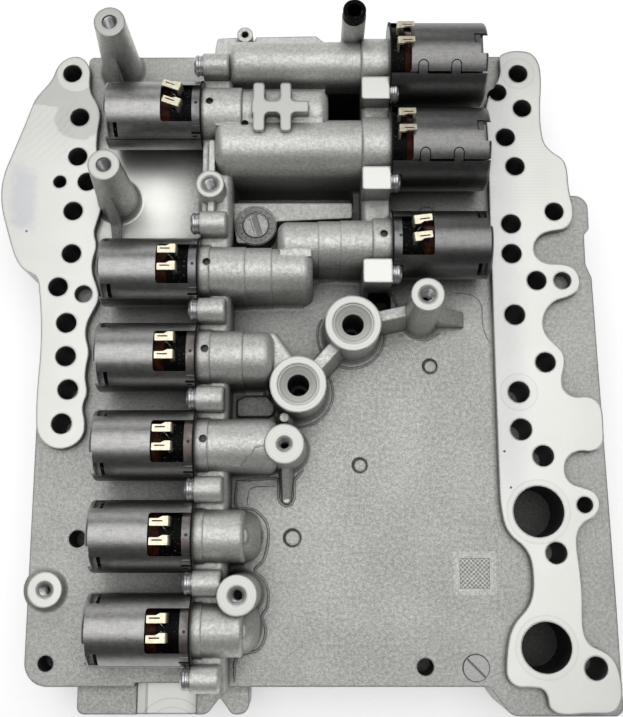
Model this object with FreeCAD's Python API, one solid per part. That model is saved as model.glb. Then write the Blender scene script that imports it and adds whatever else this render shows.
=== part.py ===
import FreeCAD, Part
import math
import os

# Transmission valve body: a die-cast upper housing with nine solenoid valves,
# closed from below by a separator plate and a channel plate.
# Millimetres. The origin lies on the underside, the face that meets the
# transmission case. +Z points up to the solenoids, +X and +Y lie in the plate.

# Layers, from the case face upwards
channel_plate_height = 10.0
separator_thickness = 1.0
housing_bottom = channel_plate_height + separator_thickness
plate_top = 30.0
flange_rise = 3.5
flange_top = plate_top + flange_rise
root_depth = 2.0
outline_tolerance = 0.3

# Solenoids and their bores lie along X at one height
axis_height = 15.0
axis_z = plate_top + axis_height
left_face_x = -33.7
right_face_x = 32.75
left_row_pitch = 30.3
left_row_start_y = 29.8

# Small and large solenoid sizes, as real radii and lengths
small_can_radius = 12.0
large_can_radius = 14.7
can_length = 34.5
can_wall = 1.2
can_rim = 1.6
can_end_wall = 1.6
rim_rounding = 1.1
collar_thickness = 3.4
large_collar_thickness = 0.5
snout_radius = 4.9
snout_length = 6.0
core_radius = 5.6
core_reach = 14.0
small_window_half = 7.0
large_window_half = 11.2
window_length = 14.3
large_window_length = 7.5
window_corner = 1.0
latch_length = 3.2
small_latch_width = 5.8
large_latch_width = 4.0
latch_inset = 1.7
latch_sink = 0.3
slit_width = 0.35
small_notch_half = 4.6
small_notch_depth = 1.3
large_notch_half = 3.85
large_notch_depth = 2.8
small_seam_half = 0.2

# Seam of a large can: tongues with round heads bite into the other edge
tongue_places = (11.6, 23.2)
tongue_radius = 1.9
tongue_reach = 2.6
tongue_relief = 0.45
large_seam_halves = (0.15, 0.45, 0.3)

# Angles about the axis; minus turns towards +Y on the right, -Y on the left
small_turn = 3.0
large_turn = 14.0
small_seam_angle = -66.0
small_notch_angle = -39.0
small_latch_angles = (-48.0, 62.0)
large_seam_angle = 36.0
large_latch_angle = -13.0
large_notch_angle = -5.0

# Coil former, winding and contact blades
former_flange = 7.3
large_former_flange = 4.6
former_wall = 1.0
former_gap = 0.3
winding_gap = 1.1
terminal_width = 3.1
terminal_tip_width = 2.4
terminal_thickness = 0.8
terminal_bend = 0.7
terminal_slot_width = 0.45
terminal_slot_length = 3.4
terminal_slot_inset = 0.9
small_terminal_start = 6.9
large_terminal_start = 2.3
small_terminal_reach = 6.5
large_terminal_reach = 6.1
small_terminal_spacing = 6.1
large_terminal_spacing = 6.9
small_terminal_shift = 0.95
large_terminal_shift = 0.25
TERMINAL_YAWS = {"l1": -20.0, "r3": 7.0}
terminal_rise = 2.2
terminal_leg = 3.6
former_end_flange = 1.4

# Moving parts
stroke = 2.0
air_gap = 2.6
armature_length = 11.0
armature_clearance = 0.06
push_pin_radius = 1.5
push_pin_clearance = 0.08
pin_end_gap = 0.5
spool_radius = 3.8
spool_clearance = 0.05
spool_neck_radius = 2.3
land_length = 4.0
neck_length = 3.6
bore_radius = spool_radius + spool_clearance
spring_room = 4.6
spring_radius = 3.2
spring_wire = 0.8
spring_play = 0.4
bore_end_wall = 2.0

# Fasteners
screw_height = 19.5
screw_z = plate_top + screw_height
screw_head_radius = 3.5
screw_head_thickness = 3.3
screw_head_chamfer = 0.7
screw_shank_radius = 2.0
screw_depth = 9.0
screw_clearance = 0.4
head_socket_radius = 1.6
head_socket_depth = 1.4
case_screw_radius = 3.0
case_screw_head_radius = 5.0
case_screw_head_height = 5.5
case_screw_recess = 0.6
case_screw_reach = 14.0
dowel_radius = 3.0
dowel_reach = 6.0
cross_pin_radius = 1.3
cross_pin_length = 3.9
cross_pin_inset = 2.8
cross_pin_sink = 2.3
cross_pin_offset_y = 1.4

# Bore bodies cast on the plate
base_fillet = 1.8
end_fillet = 3.4
blunt_end_fillet = 1.2
screw_boss_radius = 4.35
screw_boss_length = 9.3
screw_boss_fillet = 1.0
wall_rise = 16.5
square_boss_length = 10.0
square_boss_corner = 0.9
square_boss_face_corner = 0.3
square_boss_half = 4.2

# Threaded posts and bosses
post_height = 36.5
post_top_radius = 5.4
post_base_radius = 7.5
post_lean = (-1.7, -0.3)
thread_radius = 2.5
top_edge_y = 118.9
post_spacing_y = 52.0
post_x = -64.7
post_two_y = 61.3
port_depth_large = 21.0
ring_boss_radius = 9.7
ring_boss_height = 20.0
ring_seat_radius = 7.0
ring_seat_depth = 0.5
ring_cone_radius = 6.4
ring_cone_depth = 2.4
ring_hole_radius = 3.75
ring_hole_end_radius = 2.3
ring_hole_end_z = 24.0
tube_place = (19.9, 117.6)
tube_radius = 4.2
tube_height = 33.0
tube_bore_radius = 3.1
sleeve_wall = 0.6
sleeve_lip = 0.9
sleeve_rise = 3.6
sleeve_depth = 11.0
plug_place = (61.0, -105.1)
plug_radius = 4.3
plug_thickness = 2.0
plug_stand = 0.6
plug_slot_width = 0.8
h_pad_height = 27.0
h_pad_foot = 17.0
ear_place = (-19.4, 120.2)
ear_radius = 2.9
ear_hole_radius = 1.3

X_DIR = FreeCAD.Vector(1, 0, 0)
Z_DIR = FreeCAD.Vector(0, 0, 1)
ORIGIN = FreeCAD.Vector(0, 0, 0)

# Each valve: side of the housing it enters (-1 left, 1 right), its Y, its can
# size, and its cast body from the mouth inwards as (X where a step ends, radius)
VALVES = {
    "l1": (-1, 88.3, "small", [(-19.5, 9.9), (11.0, 8.8)]),
    "l2": (-1, left_row_start_y, "small", [(-30.1, 9.5), (-17.9, 8.9), (-8.7, 8.6), (5.5, 8.3)]),
    "l3": (-1, left_row_start_y - left_row_pitch, "small", [(-29.3, 9.6), (-18.3, 9.2), (-8.0, 8.8)]),
    "l4": (-1, left_row_start_y - 2 * left_row_pitch, "small", [(-29.5, 9.3), (-6.5, 8.9)]),
    "l5": (-1, left_row_start_y - 3 * left_row_pitch, "small", [(-30.5, 9.2), (-17.4, 8.8)]),
    "l6": (-1, left_row_start_y - 4 * left_row_pitch, "small", [(-30.5, 9.1), (-17.4, 8.7)]),
    "r1": (1, 108.0, "large", [(22.7, 9.3), (-25.0, 8.2)]),
    "r2": (1, 75.4, "large", [(22.7, 11.4), (-29.0, 10.3)]),
    "r3": (1, 39.8, "small", [(26.1, 9.4), (15.1, 8.6), (7.4, 8.3), (-6.8, 8.0)]),
}

# Y of the retaining screws beside the solenoids
LEFT_SCREWS = [105.5, 46.2, 15.2, -15.5, -45.9, -76.3, -106.4]
RIGHT_SCREWS = [95.2, 61.6, 28.2]

# Holes through the raised flanges: (x, y, radius)
LEFT_PORTS = [
    (-85.0, 110.6, 3.5), (-81.5, 93.0, 3.5), (-81.6, 77.5, 3.5), (-87.8, 67.7, 2.4),
    (-77.7, 67.7, 3.5), (-82.4, 56.4, 3.5), (-82.3, 40.2, 3.5), (-86.6, 27.7, 3.5),
    (-83.0, 14.4, 3.6), (-82.7, 2.2, 3.6), (-81.4, -9.8, 3.6), (-83.1, -22.0, 3.6),
]
RIGHT_PORTS = [
    (82.8, 110.5, 3.5), (74.8, 102.9, 3.3), (83.8, 96.6, 3.4), (77.1, 85.1, 3.5),
    (80.3, 73.7, 3.5), (94.0, 56.2, 3.4), (78.0, 51.5, 3.6), (77.8, 40.2, 3.6),
    (86.5, 30.1, 3.5), (78.1, 17.4, 3.7), (88.4, 0.0, 3.6), (78.5, -10.7, 3.8),
    (78.8, -24.0, 3.8), (86.2, -33.3, 3.7), (99.9, -50.3, 2.8), (89.3, -66.7, 3.7),
    (101.0, -104.9, 3.9),
]
POCKETS = [(-77.3, 25.1, 3.15), (95.8, 30.1, 3.15)]
pocket_depth = 5.0
LARGE_PORTS = [(83.8, -52.6, 8.8), (84.6, -98.1, 8.5)]
PLATE_HOLES = [(-85.6, -103.7, 2.7), (-76.5, -61.9, 3.0), (43.8, -104.8, 2.9)]
plate_hole_depth = 12.0
EJECTOR_MARKS = [(47.6, -0.9, 2.7), (22.1, -36.4, 2.7), (-1.6, -61.6, 3.1)]
CASE_SCREWS = [
    (-78.0, 108.0), (60.0, 108.0), (-66.0, 10.0), (60.0, 30.0), (-60.0, -100.0),
    (10.0, -90.0), (64.0, -60.0), (10.0, 50.0),
]
DOWELS = [(-40.0, -60.0), (55.0, 62.0)]
LOBED_VALVES = ["l5", "l6"]
PINNED_VALVES = ["l1", "l2", "l3", "l4", "r3"]
VALLEY_PIN = (-18.5, 82.1)
valley_pin_top = 50.2


def vec(x, y, z):
    return FreeCAD.Vector(x, y, z)


def disc(x, y, radius, z_low, z_high):
    return Part.makeCylinder(radius, z_high - z_low, vec(x, y, z_low), Z_DIR)


def cone(x, y, low_radius, high_radius, z_low, z_high):
    return Part.makeCone(low_radius, high_radius, z_high - z_low, vec(x, y, z_low), Z_DIR)


def block(x_low, x_high, y_low, y_high, z_low, z_high):
    size = (x_high - x_low, y_high - y_low, z_high - z_low)
    return Part.makeBox(*size, vec(x_low, y_low, z_low))


def rod(u_low, u_high, radius, y=0.0, z=0.0):
    """Cylinder along X."""
    return Part.makeCylinder(radius, u_high - u_low, vec(u_low, y, z), X_DIR)


def tube(u_low, u_high, outer, inner):
    return rod(u_low, u_high, outer).cut(rod(u_low - 1, u_high + 1, inner))


def joined(shapes):
    """One solid from overlapping shapes, with the seams between flush faces removed."""
    return shapes[0].multiFuse(shapes[1:]).removeSplitter()


def revolved(points, x, y):
    """Solid of revolution about the vertical through (x, y).

    Points are (radius, z); a third value bulges the span to that point into an
    arc through the named middle (radius, z)."""
    edges = []
    last = vec(points[0][0], 0, points[0][1])
    for point in points[1:]:
        here = vec(point[0], 0, point[1])
        if len(point) > 2:
            middle = vec(point[2][0], 0, point[2][1])
            edges.append(Part.Arc(last, middle, here).toShape())
        else:
            edges.append(Part.LineSegment(last, here).toShape())
        last = here
    edges.append(Part.LineSegment(last, vec(points[0][0], 0, points[0][1])).toShape())
    solid = Part.Face(Part.Wire(edges)).revolve(ORIGIN, Z_DIR, 360)
    solid.translate(vec(x, y, 0))
    return solid


def flared_boss(x, y, base_radius, top_radius, z_top, flare=base_fillet, z_base=plate_top):
    """Round boss whose foot runs out into the plate in a quarter-round fillet."""
    bend = flare * (1 - math.sqrt(0.5))
    profile = [
        (0, z_base - root_depth),
        (base_radius + flare, z_base - root_depth),
        (base_radius + flare, z_base),
        (base_radius, z_base + flare, (base_radius + bend, z_base + bend)),
        (top_radius, z_top),
        (0, z_top),
    ]
    return revolved(profile, x, y)


def leaning_boss(foot, foot_radius, top, top_radius, z_top):
    """Tapered round boss whose top stands off to one side of its foot."""
    low = plate_top - root_depth
    rings = [
        Part.Wire(Part.makeCircle(foot_radius, vec(*foot, low), Z_DIR)),
        Part.Wire(Part.makeCircle(top_radius, vec(*top, z_top), Z_DIR)),
    ]
    flare = flared_boss(*foot, foot_radius - 0.1, foot_radius - 0.6, plate_top + 2.6, base_fillet)
    return [Part.makeLoft(rings, True, True), flare]


def foot_strip(x_low, x_high, y, direction):
    """Quarter-round fillet along X between the plate and an upright side at y."""
    bend = base_fillet * (1 - math.sqrt(0.5))
    low = plate_top - root_depth
    inner = y - direction * 0.5
    outer = y + direction * base_fillet
    high = plate_top + base_fillet
    corners = [
        vec(x_low, y, high),
        vec(x_low, inner, high),
        vec(x_low, inner, low),
        vec(x_low, outer, low),
        vec(x_low, outer, plate_top),
    ]
    edges = [Part.LineSegment(a, b).toShape() for a, b in zip(corners[:-1], corners[1:])]
    middle = vec(x_low, y + direction * bend, plate_top + bend)
    edges.append(Part.Arc(corners[-1], middle, corners[0]).toShape())
    return Part.Face(Part.Wire(edges)).extrude(vec(x_high - x_low, 0, 0))


def rounded_end(shape, x_end, fillet):
    """Round the end face's edges, apart from the one down in the plate."""
    edges = []
    for edge in shape.Edges:
        box = edge.BoundBox
        at_end = abs(box.XMin - x_end) < 0.01 and abs(box.XMax - x_end) < 0.01
        if at_end and box.ZMax > plate_top:
            edges.append(edge)
    return shape.makeFillet(fillet, edges)


def bore_body(face_x, x_end, y, radius, fillet):
    """Half-round bore housing along X with upright sides and a rounded inner end."""
    x_low, x_high = sorted((face_x, x_end))
    low = plate_top - root_depth
    crown = rod(x_low, x_high, radius, y, axis_z)
    sides = block(x_low, x_high, y - radius, y + radius, low, axis_z)
    shape = rounded_end(joined([crown, sides]), x_end, fillet)
    inner_x = x_end - math.copysign(fillet, x_end - face_x)
    x_low, x_high = sorted((face_x, inner_x))
    strips = [foot_strip(x_low, x_high, y + side * radius, side) for side in (-1, 1)]
    return [shape] + strips


def smooth_slab(points, z_low, z_high):
    """Slab whose outline is a closed smooth curve through the points, drawn as tangent arcs."""
    curve = Part.BSplineCurve()
    curve.interpolate([vec(x, y, z_low) for x, y in points], PeriodicFlag=True)
    edges = [arc.toShape() for arc in curve.toBiArcs(outline_tolerance)]
    return Part.Face(Part.Wire(edges)).extrude(vec(0, 0, z_high - z_low))


def cornered_slab(points, z_low, z_high):
    """Slab with a straight-sided outline; each point is (x, y, corner radius)."""
    count = len(points)
    edges = []
    entry_points = []
    exit_points = []
    middles = []
    for index, (x, y, radius) in enumerate(points):
        before = points[index - 1]
        after = points[(index + 1) % count]
        corner = vec(x, y, z_low)
        to_before = vec(before[0] - x, before[1] - y, 0).normalize()
        to_after = vec(after[0] - x, after[1] - y, 0).normalize()
        half = to_before.getAngle(to_after) / 2
        reach = radius / math.tan(half)
        entry_points.append(corner + to_before * reach)
        exit_points.append(corner + to_after * reach)
        inward = (to_before + to_after).normalize()
        middles.append(corner + inward * (radius / math.sin(half) - radius))
    for index in range(count):
        if points[index][2] > 0:
            arc = Part.Arc(entry_points[index], middles[index], exit_points[index])
            edges.append(arc.toShape())
        following = (index + 1) % count
        edges.append(Part.LineSegment(exit_points[index], entry_points[following]).toShape())
    return Part.Face(Part.Wire(edges)).extrude(vec(0, 0, z_high - z_low))


# Outlines

PLATE_OUTLINE = [
    (-92.8, -111.3, 8.0), (65.5, -111.3, 3.0), (72.5, -120.8, 5.0), (110.4, -120.8, 3.0),
    (109.9, -84.0, 20.0), (108.0, 2.0, 20.0), (107.4, 32.0, 3.0), (105.4, 37.0, 3.0),
    (105.4, 48.5, 2.0), (107.3, 50.5, 2.0), (107.3, 63.5, 5.0), (92.0, 63.5, 3.0),
    (80.0, 104.0, 3.0), (78.0, 119.2, 2.0), (-79.5, 118.8, 2.0), (-86.0, 20.0, 4.0),
    (-92.8, -4.0, 4.0),
]
LEFT_FLANGE_OUTLINE = [
    (-84.5, 117.4), (-90.9, 113.2), (-92.5, 108.0), (-97.6, 101.5), (-100.4, 94.7),
    (-104.6, 82.2), (-107.2, 74.4), (-109.1, 66.0), (-108.9, 60.5), (-107.2, 53.3),
    (-104.9, 45.0), (-101.7, 37.2), (-98.8, 33.8), (-94.8, 31.5), (-93.4, 26.7),
    (-92.1, 14.3), (-91.9, -2.5), (-91.9, -21.0), (-89.6, -28.0), (-83.2, -30.8),
    (-77.0, -28.2), (-74.5, -22.3), (-75.9, -16.6), (-74.6, -10.4), (-76.0, -3.9),
    (-74.6, 2.6), (-75.9, 9.9), (-74.4, 17.6), (-71.6, 24.5), (-74.0, 31.5),
    (-74.4, 39.0), (-73.4, 43.8), (-74.4, 47.3), (-73.8, 51.3), (-72.2, 58.0),
    (-73.6, 66.0), (-74.4, 76.0), (-74.8, 86.0), (-74.6, 97.5), (-78.6, 104.4),
    (-78.4, 111.8),
]
RIGHT_FLANGE_OUTLINE = [
    (77.0, 118.4), (83.5, 119.7), (89.5, 117.6), (91.1, 112.5), (90.6, 98.0),
    (90.9, 85.2), (92.9, 80.0), (97.6, 76.9), (99.5, 71.6), (99.6, 65.0),
    (101.0, 56.5), (99.1, 51.0), (94.6, 48.9), (90.6, 48.3), (87.3, 45.6),
    (86.0, 42.0), (87.2, 38.4), (90.8, 36.5), (96.2, 36.4), (100.8, 34.0),
    (102.1, 29.6), (100.0, 25.4), (95.6, 23.8), (91.4, 21.4), (88.5, 16.6),
    (88.7, 11.0), (91.3, 7.2), (94.6, 4.0), (95.4, -0.4), (93.9, -5.6),
    (94.3, -9.4), (97.0, -11.9), (101.6, -12.3), (105.6, -13.5), (107.4, -17.0),
    (107.7, -24.0), (106.9, -29.4), (103.4, -31.6), (97.8, -31.9), (94.4, -34.4),
    (93.5, -38.0), (94.7, -42.0), (98.4, -44.2), (102.4, -45.2), (105.2, -49.0),
    (103.6, -53.6), (99.2, -56.5), (97.0, -60.0), (96.8, -68.5), (97.4, -85.0),
    (97.6, -93.6), (99.4, -97.2), (103.8, -99.4), (107.6, -102.8), (109.1, -108.0),
    (109.0, -114.3), (106.8, -118.4), (102.6, -119.4), (94.0, -119.5), (87.2, -119.3),
    (84.8, -117.2), (84.0, -113.3), (81.6, -111.3), (76.6, -111.0), (72.6, -110.2),
    (71.6, -106.5), (71.6, -98.0), (73.0, -92.4), (76.4, -87.6), (79.6, -83.8),
    (80.9, -78.6), (80.7, -68.6), (78.4, -64.6), (73.8, -60.8), (71.2, -55.4),
    (70.6, -48.4), (70.5, -30.0), (70.4, -10.0), (70.4, 10.0), (70.4, 30.0),
    (70.4, 50.0), (70.4, 70.0), (70.5, 90.0), (71.4, 101.0), (74.6, 107.0),
    (76.2, 112.0),
]


def casting_footprint(z_low, z_high):
    """The shape that all three layers share: the plate and both side flanges."""
    slabs = [
        cornered_slab(PLATE_OUTLINE, z_low, z_high),
        smooth_slab(LEFT_FLANGE_OUTLINE, z_low, z_high),
        smooth_slab(RIGHT_FLANGE_OUTLINE, z_low, z_high),
    ]
    return joined(slabs)


# Valve housing

tab_drop = 5.0
TAB_OUTLINE = [
    (-75.4, -105.0, 0.0), (-75.4, -121.0, 2.5), (-30.8, -121.0, 3.5), (-26.4, -115.4, 0.6),
    (-22.2, -121.0, 2.5), (-16.4, -121.0, 3.5), (-16.4, -105.0, 0.0),
]
tab_pad_low_x = -55.0
tab_pad_high_x = -34.4
tab_pad_depth = 0.6
tab_pad_inset = 1.3


def side_tab():
    """Ledge on the lower edge."""
    return cornered_slab(TAB_OUTLINE, housing_bottom, plate_top - tab_drop)


def tab_pad_tool():
    """Milling cut of the pad across the ledge, which bites a little into the plate's edge."""
    y_high = PLATE_OUTLINE[0][1] + tab_pad_inset
    z_low = plate_top - tab_drop - tab_pad_depth
    return block(tab_pad_low_x, tab_pad_high_x, -122.0, y_high, z_low, plate_top + 1)


def posts():
    """Two tall tapered posts with their buttress ribs, flat at the casting's edge."""
    shapes = []
    beyond_edge = block(-80, -50, top_edge_y, top_edge_y + 20, 0, plate_top + post_height)
    for y in (post_two_y + post_spacing_y, post_two_y):
        z_top = plate_top + post_height
        foot = (post_x + post_lean[0], y + post_lean[1])
        for shape in leaning_boss(foot, post_base_radius, (post_x, y), post_top_radius, z_top):
            shapes.append(shape.cut(beyond_edge))
        profile = [
            vec(0, y, plate_top - root_depth),
            vec(0, y - 15.5, plate_top - root_depth),
            vec(0, y - 15.5, plate_top + 2.0),
            vec(0, y - 11.2, plate_top + 6.0),
            vec(0, y - 5.4, plate_top + 25.0),
            vec(0, y, plate_top + 25.0),
        ]
        rib = Part.Face(Part.makePolygon(profile + profile[:1])).extrude(vec(3.0, 0, 0))
        rib.translate(vec(foot[0] - 1.5, 0, 0))
        shapes.append(rib)
    return shapes


BOSSES = [
    # x, y, base radius, top radius, height, thread radius
    (-30.2, 59.2, 5.4, 4.9, 24.0, 2.3),
    (-4.0, -31.2, 7.4, 6.5, 20.0, 1.9),
    (-19.0, -80.0, 7.0, 6.6, 24.4, 2.2),
    (-86.3, -79.1, 6.3, 6.0, 3.5, 2.1),
]
RING_BOSSES = [(19.3, 10.6), (0.5, -10.5)]
tall_boss_foot = (44.0, 16.0)
tall_boss_top = (43.5, 17.3)
tall_boss_height = 33.5
tall_boss_radii = (6.3, 5.6)
tall_boss_thread = 2.3
RIBS = [
    # start, end, width of the top, height at the start, height at the end
    (RING_BOSSES[0], RING_BOSSES[1], 4.0, 14.5, 14.5),
    ((19.3, 12.2), (44.0, 17.6), 3.8, 14.0, 14.0),
    (RING_BOSSES[1], (-10.0, -0.5), 10.0, 13.0, 13.0),
    ((-4.0, -31.2), (-3.7, -48.4), 2.6, 15.0, 3.0),
    ((-4.0, -31.2), (-12.0, -30.8), 9.0, 16.0, 16.0),
    ((-30.2, 44.0), (-30.2, 76.0), 2.2, 20.0, 20.0),
]
rib_draft = 0.15


def rib_between(start, end, width, start_height, end_height):
    """Drafted web from one boss to another, its far end rounded, standing on the plate."""
    x_start, y_start = start
    x_end, y_end = end
    length = math.hypot(x_end - x_start, y_end - y_start)
    angle = math.degrees(math.atan2(y_end - y_start, x_end - x_start))
    low = plate_top - root_depth
    sections = []
    for u, height in ((0, start_height), (length, end_height)):
        top = width / 2
        foot = top + rib_draft * (height + root_depth)
        high = plate_top + height
        corners = [vec(u, -foot, low), vec(u, foot, low), vec(u, top, high), vec(u, -top, high)]
        sections.append(Part.makePolygon(corners + corners[:1]))
    web = Part.makeLoft(sections, True, True)
    web.rotate(ORIGIN, Z_DIR, angle)
    web.translate(vec(x_start, y_start, 0))
    foot = width / 2 + rib_draft * (end_height + root_depth)
    return [web, cone(x_end, y_end, foot, width / 2, low, plate_top + end_height)]


def bosses():
    shapes = []
    for x, y, base_radius, top_radius, height, _ in BOSSES:
        flare = min(base_fillet, height / 2)
        shapes.append(flared_boss(x, y, base_radius, top_radius, plate_top + height, flare))
    for x, y in RING_BOSSES:
        z_top = plate_top + ring_boss_height
        shapes.append(flared_boss(x, y, ring_boss_radius, ring_boss_radius, z_top, 2.2))
    low_radius, top_radius = tall_boss_radii
    shapes += leaning_boss(tall_boss_foot, low_radius, tall_boss_top, top_radius,
                           plate_top + tall_boss_height)
    for rib in RIBS:
        shapes += rib_between(*rib)
    return shapes


def bore_bodies():
    """Cast bodies round the nine spool bores, stepping down from their mouths."""
    shapes = []
    for name, (side, y, _, sections) in VALVES.items():
        face_x = left_face_x if side < 0 else right_face_x
        for index, (x_end, radius) in enumerate(sections):
            fillet = blunt_end_fillet if name in LOBED_VALVES else end_fillet
            if index < len(sections) - 1:
                fillet = 0.8 * (radius - sections[index + 1][1])
            shapes += bore_body(face_x, x_end, y, radius, fillet)
    return shapes


LEFT_WALL_ENDS = (-110.7, 109.9)
RIGHT_WALLS = [
    # y low, y high, height
    (84.0, 92.0, 16.0),
    (46.0, 58.0, 12.0),
    (98.0, 110.0, 12.0),
]
VALLEY_FILLS = [
    # x low, x high, y low, y high, height of the flat strip between two bore bodies
    (-29.0, 10.0, 92.0, 104.0, 13.0),
    (-29.0, 9.0, 81.4, 84.5, 22.6),
    (-6.0, 5.0, 33.6, 36.2, 22.2),
]
wall_thickness = 10.6
wall_rounding = 2.6


def eased(wall, x, z):
    """Round the one top edge of a wall that lies at x and z."""
    edges = []
    for edge in wall.Edges:
        middle = edge.CenterOfMass
        if abs(middle.x - x) < 0.01 and abs(middle.z - z) < 0.01:
            edges.append(edge)
    return wall.makeFillet(wall_rounding, edges)


def walls():
    """Upright walls that join the mouths of the bore bodies along both faces."""
    low = plate_top - root_depth
    left = block(left_face_x, left_face_x + wall_thickness, *LEFT_WALL_ENDS, low,
                 plate_top + wall_rise)
    shapes = [eased(left, left_face_x + wall_thickness, plate_top + wall_rise)]
    inner_x = right_face_x - square_boss_length
    for y_low, y_high, height in RIGHT_WALLS:
        right = block(inner_x, right_face_x, y_low, y_high, low, plate_top + height)
        shapes.append(eased(right, inner_x, plate_top + height))
    for x_low, x_high, y_low, y_high, height in VALLEY_FILLS:
        shapes.append(block(x_low, x_high, y_low, y_high, low, plate_top + height))
    return shapes


def screw_bosses():
    """Round bosses for the left screws, square ones with milled tops on the right."""
    shapes = []
    low = plate_top - root_depth
    for y in LEFT_SCREWS:
        x_high = left_face_x + screw_boss_length
        cylinder = rod(left_face_x, x_high, screw_boss_radius, y, screw_z)
        foot = block(left_face_x, x_high, y - screw_boss_radius, y + screw_boss_radius, low, screw_z)
        shapes.append(rounded_end(joined([cylinder, foot]), x_high, screw_boss_fillet))
    for y in RIGHT_SCREWS:
        x_low = right_face_x - square_boss_length
        half = square_boss_half
        corner = square_boss_corner
        outline = [
            (x_low, y - half, corner),
            (right_face_x, y - half, square_boss_face_corner),
            (right_face_x, y + half, square_boss_face_corner),
            (x_low, y + half, corner),
        ]
        shapes.append(cornered_slab(outline, low, screw_z + half))
    return shapes


H_PAD_OUTLINE = [
    (-15.4, 95.4, 1.2), (-11.4, 95.4, 1.2), (-11.4, 88.6, 1.6), (-5.9, 88.6, 1.6),
    (-5.9, 95.4, 1.2), (-2.1, 95.4, 1.2), (-2.1, 88.6, 1.6), (4.0, 88.6, 0.4),
    (4.0, 84.5, 0.4), (-2.1, 84.5, 1.6), (-2.1, 77.6, 1.2), (-5.9, 77.6, 1.2),
    (-5.9, 84.5, 1.8), (-11.4, 84.5, 1.8), (-11.4, 77.6, 1.2), (-15.4, 77.6, 1.2),
    (-15.4, 83.9, 0.2), (-15.9, 84.5, 0.2), (-15.9, 88.6, 0.2), (-15.4, 89.2, 0.2),
]
BACK_PAD_OUTLINE = [
    (-30.6, 104.0, 0.0), (-30.6, 116.4, 1.0), (-29.8, 120.7, 1.0), (-22.9, 121.1, 1.0),
    (-16.6, 119.2, 1.0), (-15.5, 121.3, 0.6), (6.6, 121.7, 1.0), (10.0, 119.0, 1.0),
    (14.5, 118.8, 1.0), (14.5, 104.0, 0.0),
]
DATE_PAD_OUTLINE = [
    (-23.5, 57.8, 0.8), (19.7, 57.8, 0.8), (19.6, 52.2, 0.8), (-7.6, 50.9, 0.8),
    (-9.0, 45.0, 0.8), (-15.0, 42.6, 0.8), (-21.8, 42.8, 0.8), (-22.6, 47.6, 1.0),
]
WEDGE_OUTLINE = [
    (-14.0, -8.8, 0.0), (-14.0, 8.1, 0.0), (-7.1, 8.1, 2.0), (-0.9, -0.6, 1.5),
    (0.5, -8.8, 0.0),
]
STEP_PAD_OUTLINE = [
    (-21.5, -19.3, 1.0), (-8.2, -19.3, 2.5), (-8.2, -15.0, 2.0), (-10.6, -11.9, 1.0),
    (-18.6, -12.0, 1.0), (-21.5, -13.4, 1.0),
]
wedge_rise = 18.0
step_pad_rise = 1.6
date_pad_centre = (-15.1, 49.4)
date_pad_radius = 7.5
lobe_x = -19.6
lobe_foot_radius = 7.2
lobe_top_radius = 3.4
lobe_rise = 20.0


def topped(shape, z_top, fillet):
    """Round the outer edges of a slab's top face."""
    edges = []
    for edge in shape.Edges:
        box = edge.BoundBox
        if abs(box.ZMin - z_top) < 0.01 and abs(box.ZMax - z_top) < 0.01:
            edges.append(edge)
    return shape.makeFillet(fillet, edges)


def h_pad():
    """Machined H-shaped stop pad that stands over two bore bodies."""
    return [cornered_slab(H_PAD_OUTLINE, plate_top + h_pad_foot, plate_top + h_pad_height)]


def sloping_rib():
    """Web that falls from the tall boss to the plate on its right."""
    x, y = tall_boss_foot
    low = plate_top - root_depth
    profile = [
        vec(x, y - 2.75, low),
        vec(x, y - 2.75, plate_top + 14.0),
        vec(x + 15.7, y - 2.75, plate_top + 1.5),
        vec(x + 15.7, y - 2.75, low),
    ]
    return Part.Face(Part.makePolygon(profile + profile[:1])).extrude(vec(0, 5.5, 0))


def top_details():
    """Back pad, ear, breather tube, date pad, wedge, step pad, nub and the two low lobes."""
    low = plate_top - root_depth
    wedge_top = plate_top + wedge_rise
    step_top = plate_top + step_pad_rise
    shapes = [
        cornered_slab(BACK_PAD_OUTLINE, low, plate_top + 11.0),
        flared_boss(*ear_place, ear_radius, ear_radius, plate_top + 15.0, 0.8),
        flared_boss(*tube_place, tube_radius, tube_radius, plate_top + tube_height, 1.5),
        cornered_slab(DATE_PAD_OUTLINE, low, plate_top + 8.0),
        topped(cornered_slab(WEDGE_OUTLINE, low, wedge_top), wedge_top, 1.8),
        topped(cornered_slab(STEP_PAD_OUTLINE, low, step_top), step_top, 0.5),
        flared_boss(-4.3, -21.1, 3.3, 1.6, plate_top + 14.0, 1.0),
        disc(*date_pad_centre, date_pad_radius, low, plate_top + 8.0),
        sloping_rib(),
    ]
    for name in LOBED_VALVES:
        shapes.append(flared_boss(lobe_x, VALVES[name][1], lobe_foot_radius, lobe_top_radius,
                                  plate_top + lobe_rise, 1.2))
    return shapes


CORE_POCKETS = [
    # x low, x high, y low, y high, floor above the underside, rise above the plate
    (11.6, 22.7, 85.8, 99.7, 14.0, 9.0),
    (25.6, 33.6, 19.2, 25.6, 18.0, 9.0),
    (-23.4, 20.4, 57.85, 65.0, 21.0, 2.5),
]
core_pocket_corner = 1.6


def core_pockets():
    """Deep cast pockets between the bore bodies."""
    tools = []
    for x_low, x_high, y_low, y_high, floor, rise in CORE_POCKETS:
        corner = core_pocket_corner
        outline = [
            (x_low, y_low, corner), (x_high, y_low, corner),
            (x_high, y_high, corner), (x_low, y_high, corner),
        ]
        tools.append(cornered_slab(outline, floor, plate_top + rise))
    return tools


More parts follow.
